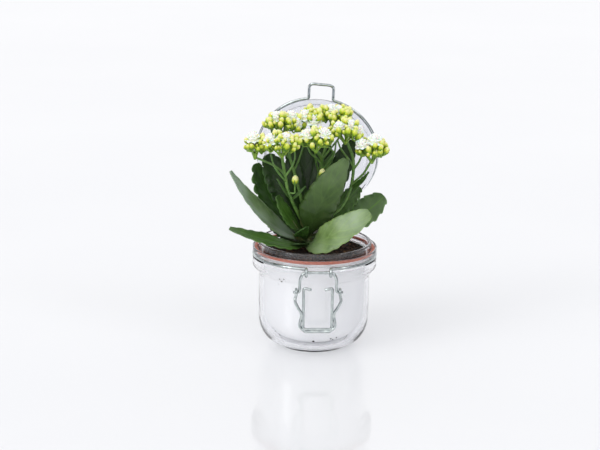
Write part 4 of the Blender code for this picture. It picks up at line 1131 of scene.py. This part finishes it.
def calyx_template():
    """Four sepals that hug the foot of a bud, and the swelling that they leave."""
    half = lambda t, side: 0.95 * (1 - 0.8 * t**1.5) * (0.6 + 0.4 * smooth_share(t / 0.3))
    thickness, lift = lambda t, u: 0.45 * (1 - 0.5 * abs(u)), lambda t, u: 0.25 * abs(u)
    shape = Gather()
    for k in range(4):
        a = pi / 4 + k * pi / 2
        out = Vector((cos(a), sin(a), 0))
        curve = bezier(out * 0.5 + UP * -0.4, out * 2.7 + UP * 0.2, out * 2.75 + UP * 3.9)
        shape.add(*blade(curve, -out + UP * 0.6, half, thickness, lift, 7, 4), 0)
    swelling = [(0.55, -1.3), (0.8, -0.9), (1.15, -0.4), (1.3, 0.1), (1.0, 0.5), (0.0, 0.6)]
    shape.add(*lathe(swelling, 10), 0)
    return shape.template()


# Whorls of an open double flower, the inner ones upright: petals, lean, length, width, first petal's angle.
WHORLS = [(4, 10, 4.8, 3.4, 0.0), (5, 32, 5.3, 4.6, 0.4), (7, 56, 5.7, 4.9, 0.1), (8, 80, 5.7, 4.9, 0.5)]


def rosette_template():
    """Open double flower, its foot at the origin."""
    shape = Gather()
    shape.add(*lathe([(0.6, 0.0), (2.2, 0.7), (2.9, 1.7), (2.7, 2.7), (1.7, 3.5), (0.0, 3.9)], 12), 0)
    thickness, lift = lambda t, u: 0.5 * (1 - 0.5 * abs(u)), lambda t, u: 0.35 * u * u
    for petals, lean, length, width, start in WHORLS:

        def half(t, side):
            swell = 0.3 + 0.7 * sin(pi * min(0.08 + 0.72 * t, 1)) ** 0.8
            return 0.5 * width * swell * (1 - t**6) ** 0.5

        angle = radians(lean)
        for k in range(petals):
            a = start + 2 * pi * k / petals
            out = Vector((cos(a), sin(a), 0))
            direction = out * sin(angle) + UP * cos(angle)
            foot = out * 0.5 + UP * (1.6 - lean / 60)
            bend = foot + direction * length * 0.55 + UP * 0.5
            tip = foot + direction * length + UP * (0.7 - lean / 60)
            facing = -out * cos(angle) + UP * sin(angle)
            shape.add(*blade(bezier(foot, bend, tip), facing, half, thickness, lift, 7, 4), 0)
    return shape.template()


def standing(place, direction, roll):
    """Takes a template's foot to a place and its +Z to the direction, after a roll about +Z."""
    turn = (UP.rotation_difference(direction) @ Quaternion(UP, roll)).to_matrix().to_4x4()
    return Matrix.Translation(place) @ turn


def bud_places(half, wanted, taken, draw):
    """Places for buds over a head's dome and a few beneath them, clear of its open flowers."""
    golden = pi * (3 - sqrt(5))
    places, tries = [], int(wanted * 1.7)
    for i in range(tries):
        z = 1.0 - 1.3 * (i + 0.5) / tries
        ring = sqrt(max(1 - z * z, 0))
        turn = golden * i + draw.uniform(-0.3, 0.3)
        share = draw.uniform(0.80, 1.06) if i % 5 else draw.uniform(0.55, 0.75)
        place = Vector((ring * cos(turn) * half.x, ring * sin(turn) * half.y, z * half.z)) * share
        clear = ((FLOWER_GAP, taken), (BUD_GAP, places))
        if all((place - other).length >= gap for gap, others in clear for other in others):
            places.append(place)
    return places[:wanted]


def branches(stems, foot, centre, half, draw):
    """Branches that fan out from the top of a flower stalk; gives where each parts into the buds' stalks."""
    forks = []
    for k in range(BRANCHES):
        a = 2 * pi * (k + draw.uniform(0.3, 0.7)) / BRANCHES
        spread = 0.3 if k == 0 else draw.uniform(0.55, 0.8)
        rim = centre + Vector((half.x * cos(a), half.y * sin(a), 0)) * spread
        fork = foot.lerp(rim, draw.uniform(0.5, 0.68))
        bend = foot.lerp(fork, 0.5) + Vector((0, 0, -0.6 * MM))
        path = smooth_path([foot + Vector((0, 0, -1.5 * MM)), bend, fork], 4)
        stems.add(*sweep(path, lambda t: 0.95 * MM * (1 - 0.3 * t), 8), draw.random())
        forks.append(fork)
    return forks


def pedicel(stems, forks, end, direction, draw):
    """Short stalk from the nearest branch to the foot of one bud."""
    fork = min(forks, key=lambda place: (place - end).length)
    reach = (end - fork).length
    middle = fork.lerp(end, 0.45) + Vector((0, 0, -0.1 * reach))
    path = smooth_path([fork, middle, end - direction * 0.2 * reach, end], 3)
    size = draw.uniform(0.48, 0.64) * MM
    stems.add(*sweep(path, lambda t: size * (1.25 - 0.4 * t), 6), draw.random())


def flower_heads(bud_skin, petal_white, green):
    bud, calyx, rosette = bud_template(), calyx_template(), rosette_template()
    for number, (name, (middle, half_widths, count, flowers)) in enumerate(HEADS.items()):
        draw = random.Random(HEAD_SEED + number)
        *settle, wider = HEAD_SETTLE.get(name, (0, 0, 0, 1))
        centre, foot = planted(middle) + Vector(settle) * MM, planted(head_foot(name))
        half = Vector(half_widths) * MM
        buds, petals, stems = Gather(), Gather(), Gather()
        forks = branches(stems, foot, centre, half, draw)
        half.x *= wider
        for fork in forks:
            direction = (fork - foot).normalized()
            direction += Vector((draw.uniform(-0.5, 0.5), draw.uniform(-0.5, 0.5), 0.4))
            for _ in range(3):
                size = draw.uniform(0.28, 0.48)
                direction = (direction + Vector([draw.uniform(-0.4, 0.4) for _ in range(3)])).normalized()
                end = fork + direction * draw.uniform(1.5, 4.5) * MM
                stand = standing(end, direction, draw.uniform(0, 6)) @ Matrix.Scale(size, 4)
                buds.place(bud, stand, draw.uniform(0, 0.15))
                stems.place(calyx, stand, draw.random())
                pedicel(stems, [fork], end, direction, draw)
        taken = [Vector(row[:3]) * MM for row in flowers]
        for place, (*_, size) in zip(taken, flowers):
            direction = (centre + place - foot).normalized() * 0.6 + Vector((0, -0.15, 0.7))
            direction.normalize()
            base = centre + place - direction * FLOWER_FOOT * MM
            stand = standing(base, direction, draw.uniform(0, 6))
            petals.place(rosette, stand @ Matrix.Scale(FLOWER_SIZE * size, 4), draw.random())
            stems.place(calyx, stand @ Matrix.Scale(size * 1.1, 4), draw.random())
            pedicel(stems, forks, base - direction * CALYX_FOOT * MM, direction, draw)
        for place in bud_places(half, count, taken, draw):
            direction = (centre + place - foot).normalized() * 0.75 + Vector((0, 0, 0.55))
            direction += Vector((draw.uniform(-0.2, 0.2), draw.uniform(-0.2, 0.2), 0))
            direction.normalize()
            size = draw.choice((0.55, 0.66, 0.76, 0.82, 0.90)) * draw.uniform(0.95, 1.06)
            base = centre + place - direction * BUD_FOOT * MM * size
            stand = standing(base, direction, draw.uniform(0, 6))
            ripe = 0.35 + 0.45 * place.z / (half_widths[2] * MM) + draw.uniform(-0.25, 0.25)
            stand = stand @ Matrix.Diagonal((size, size, size * draw.uniform(0.92, 1.12), 1))
            buds.place(bud, stand, min(1.0, max(0.0, ripe)))
            stems.place(calyx, stand, draw.random())
            pedicel(stems, forks, base - direction * CALYX_FOOT * MM * size, direction, draw)
        node = "flowers_" + name
        add_piece(node, buds.mesh(), bud_skin, name=node + "_buds")
        add_piece(node, petals.mesh(), petal_white, name=node + "_petals")
        add_piece(node, stems.mesh(), green, name=node + "_stems")


# Single buds on short stalks of their own: the stalk's middle beside them, foot, top of their own stalk.
SINGLE_BUDS = {
    "bud_left": ((-21.9, -10.4, 46.8), (-17.4, -12.4, 46.8), (-17.2, -13, 54.3)),
    "bud_center": ((2.5, -0.3, 52.3), (2.0, -4.4, 52.3), (3.4, -5.4, 58.3)),
}


def single_buds(bud_skin, green):
    bud, calyx = bud_template(), calyx_template()
    for name, (anchor, *places) in SINGLE_BUDS.items():
        start, end = beside(anchor, *places)
        stand = standing(end, (end - start).normalized(), 0.6)
        shape, stems = Gather(), Gather()
        shape.place(bud, stand @ Matrix.Diagonal((0.98, 0.98, 1.05, 1)), 0.85)
        stems.place(calyx, stand @ Matrix.Scale(1.05, 4), 0.8)
        path = smooth_path([planted(anchor), start, start.lerp(end, 0.5), end], 4)
        stems.add(*sweep(path, lambda t: 0.62 * MM, 8), 0.6)
        add_piece(name, shape.mesh(), bud_skin, name=name + "_skin")
        add_piece(name, stems.mesh(), green, name=name + "_stem")


# ---------------------------------------------------------------- stage, light, camera


def floor():
    mesh = bpy.data.meshes.new("floor")
    corners = [(x * FLOOR_HALF, y * FLOOR_HALF, 0) for x, y in ((-1, -1), (1, -1), (1, 1), (-1, 1))]
    mesh.from_pydata(corners, [], [(0, 1, 2, 3)])
    made = Nodes("floor_white")
    cloud = made.spread(made.noise(3.0, detail=2.0), 0.3, 0.7)
    made.set(base_color=made.mix(cloud, (0.885, 0.892, 0.91), (0.90, 0.905, 0.92)), roughness=0.06)
    made.set(specular_ior_level=0.5)
    shown("floor", mesh, made.data)


# Soft lights round the object: direction, half angle of the full light and of its edge, strength, colour.
SOFT_LIGHTS = [
    ((0.0, 0.0, 1.0), 10, 70, 0.14, (1.0, 1.0, 1.0)),
    ((-0.25, -1.0, 0.35), 18, 50, 0.42, (1.0, 1.0, 1.0)),
    ((-0.75, -0.5, 0.75), 12, 30, 0.85, (1.0, 1.0, 0.98)),
    ((0.0, 1.0, 0.10), 20, 60, 0.25, (1.0, 1.0, 1.0)),
    ((-0.8, -0.5, 0.45), 5, 14, 4.0, (1.0, 1.0, 1.0)),
    ((0.75, -0.5, 0.55), 4, 12, 3.0, (1.0, 1.0, 1.0)),
    ((1.0, -0.15, 0.0), 12, 44, -0.62, (1.0, 0.98, 0.96)),
    ((-1.0, -0.15, 0.0), 12, 44, -0.62, (1.0, 0.98, 0.96)),
]
DIM = 0.755  # what lies between the soft lights
FLOOR_HALF = 8.0


def world():
    made = Nodes("studio", bpy.data.worlds)
    direction = made.add("TexCoord").outputs["Generated"]
    total = (DIM, DIM, 1.02 * DIM)
    for aim, full, fade, strength, colour in SOFT_LIGHTS:
        dot = made.add("VectorMath", {0: direction, 1: Vector(aim).normalized()}, operation="DOT_PRODUCT")
        share = made.spread(dot.outputs["Value"], cos(radians(fade)), cos(radians(full)))
        lit = made.add("VectorMath", {0: Vector(colour) * strength, "Scale": share}, operation="SCALE")
        total = made.add("VectorMath", {0: lit.outputs[0], 1: total}, operation="ADD").outputs[0]
    made.put(made.tree.nodes["Background"].inputs["Color"], total)
    bpy.context.scene.world = made.data


def camera():
    data = bpy.data.cameras.new("camera")
    data.lens = CAMERA_LENS
    data.sensor_width = SENSOR_WIDTH
    data.clip_end = 50.0
    item = bpy.data.objects.new("camera", data)
    bpy.context.scene.collection.objects.link(item)
    level = cos(CAMERA_ELEVATION)
    back = Vector((sin(CAMERA_AZIMUTH) * level, -cos(CAMERA_AZIMUTH) * level, sin(CAMERA_ELEVATION)))
    item.location = CAMERA_TARGET + back * CAMERA_DISTANCE
    look = (CAMERA_AIM - item.location).to_track_quat("-Z", "Y")
    item.rotation_mode = "QUATERNION"
    item.rotation_quaternion = look @ Quaternion((0, 0, 1), CAMERA_ROLL)
    bpy.context.scene.camera = item


def main():
    bpy.context.scene.view_settings.view_transform = "Standard"
    camera()
    world()
    floor()
    jar_glass = glass_finish("jar_glass", (0.955, 0.958, 0.975))
    add_piece("glass_jar", turned_mesh(jar_profile()), jar_glass)
    rubber_gasket(rubber_finish())
    inner_pot(liner_finish())
    soil = soil_finish()
    potting_soil(soil)
    glass_specks(soil)
    steel = wire_finish()
    neck_wire(steel)
    latch_link(steel)
    latch_lever(steel)
    glass_lid(glass_finish("lid_glass", (0.84, 0.85, 0.895)))
    lid_wire(steel)
    stalk_green = stalk_finish("stalk_green", (0.055, 0.13, 0.022), (0.14, 0.27, 0.055))
    main_stem(stalk_finish("stem_green", (0.05, 0.07, 0.02), (0.12, 0.14, 0.05)))
    leaf_tints = {name: leaf_finish("leaf_" + name, *row) for name, row in LEAF_TINTS.items()}
    leaves(leaf_tints)
    bracts(leaf_tints["mid"])
    stalks(stalk_green)
    bud_skin = bud_finish()
    pedicel_green = stalk_finish("pedicel_green", (0.10, 0.21, 0.018), (0.26, 0.42, 0.045))
    flower_heads(bud_skin, petal_finish(), pedicel_green)
    single_buds(bud_skin, stalk_green)


main()
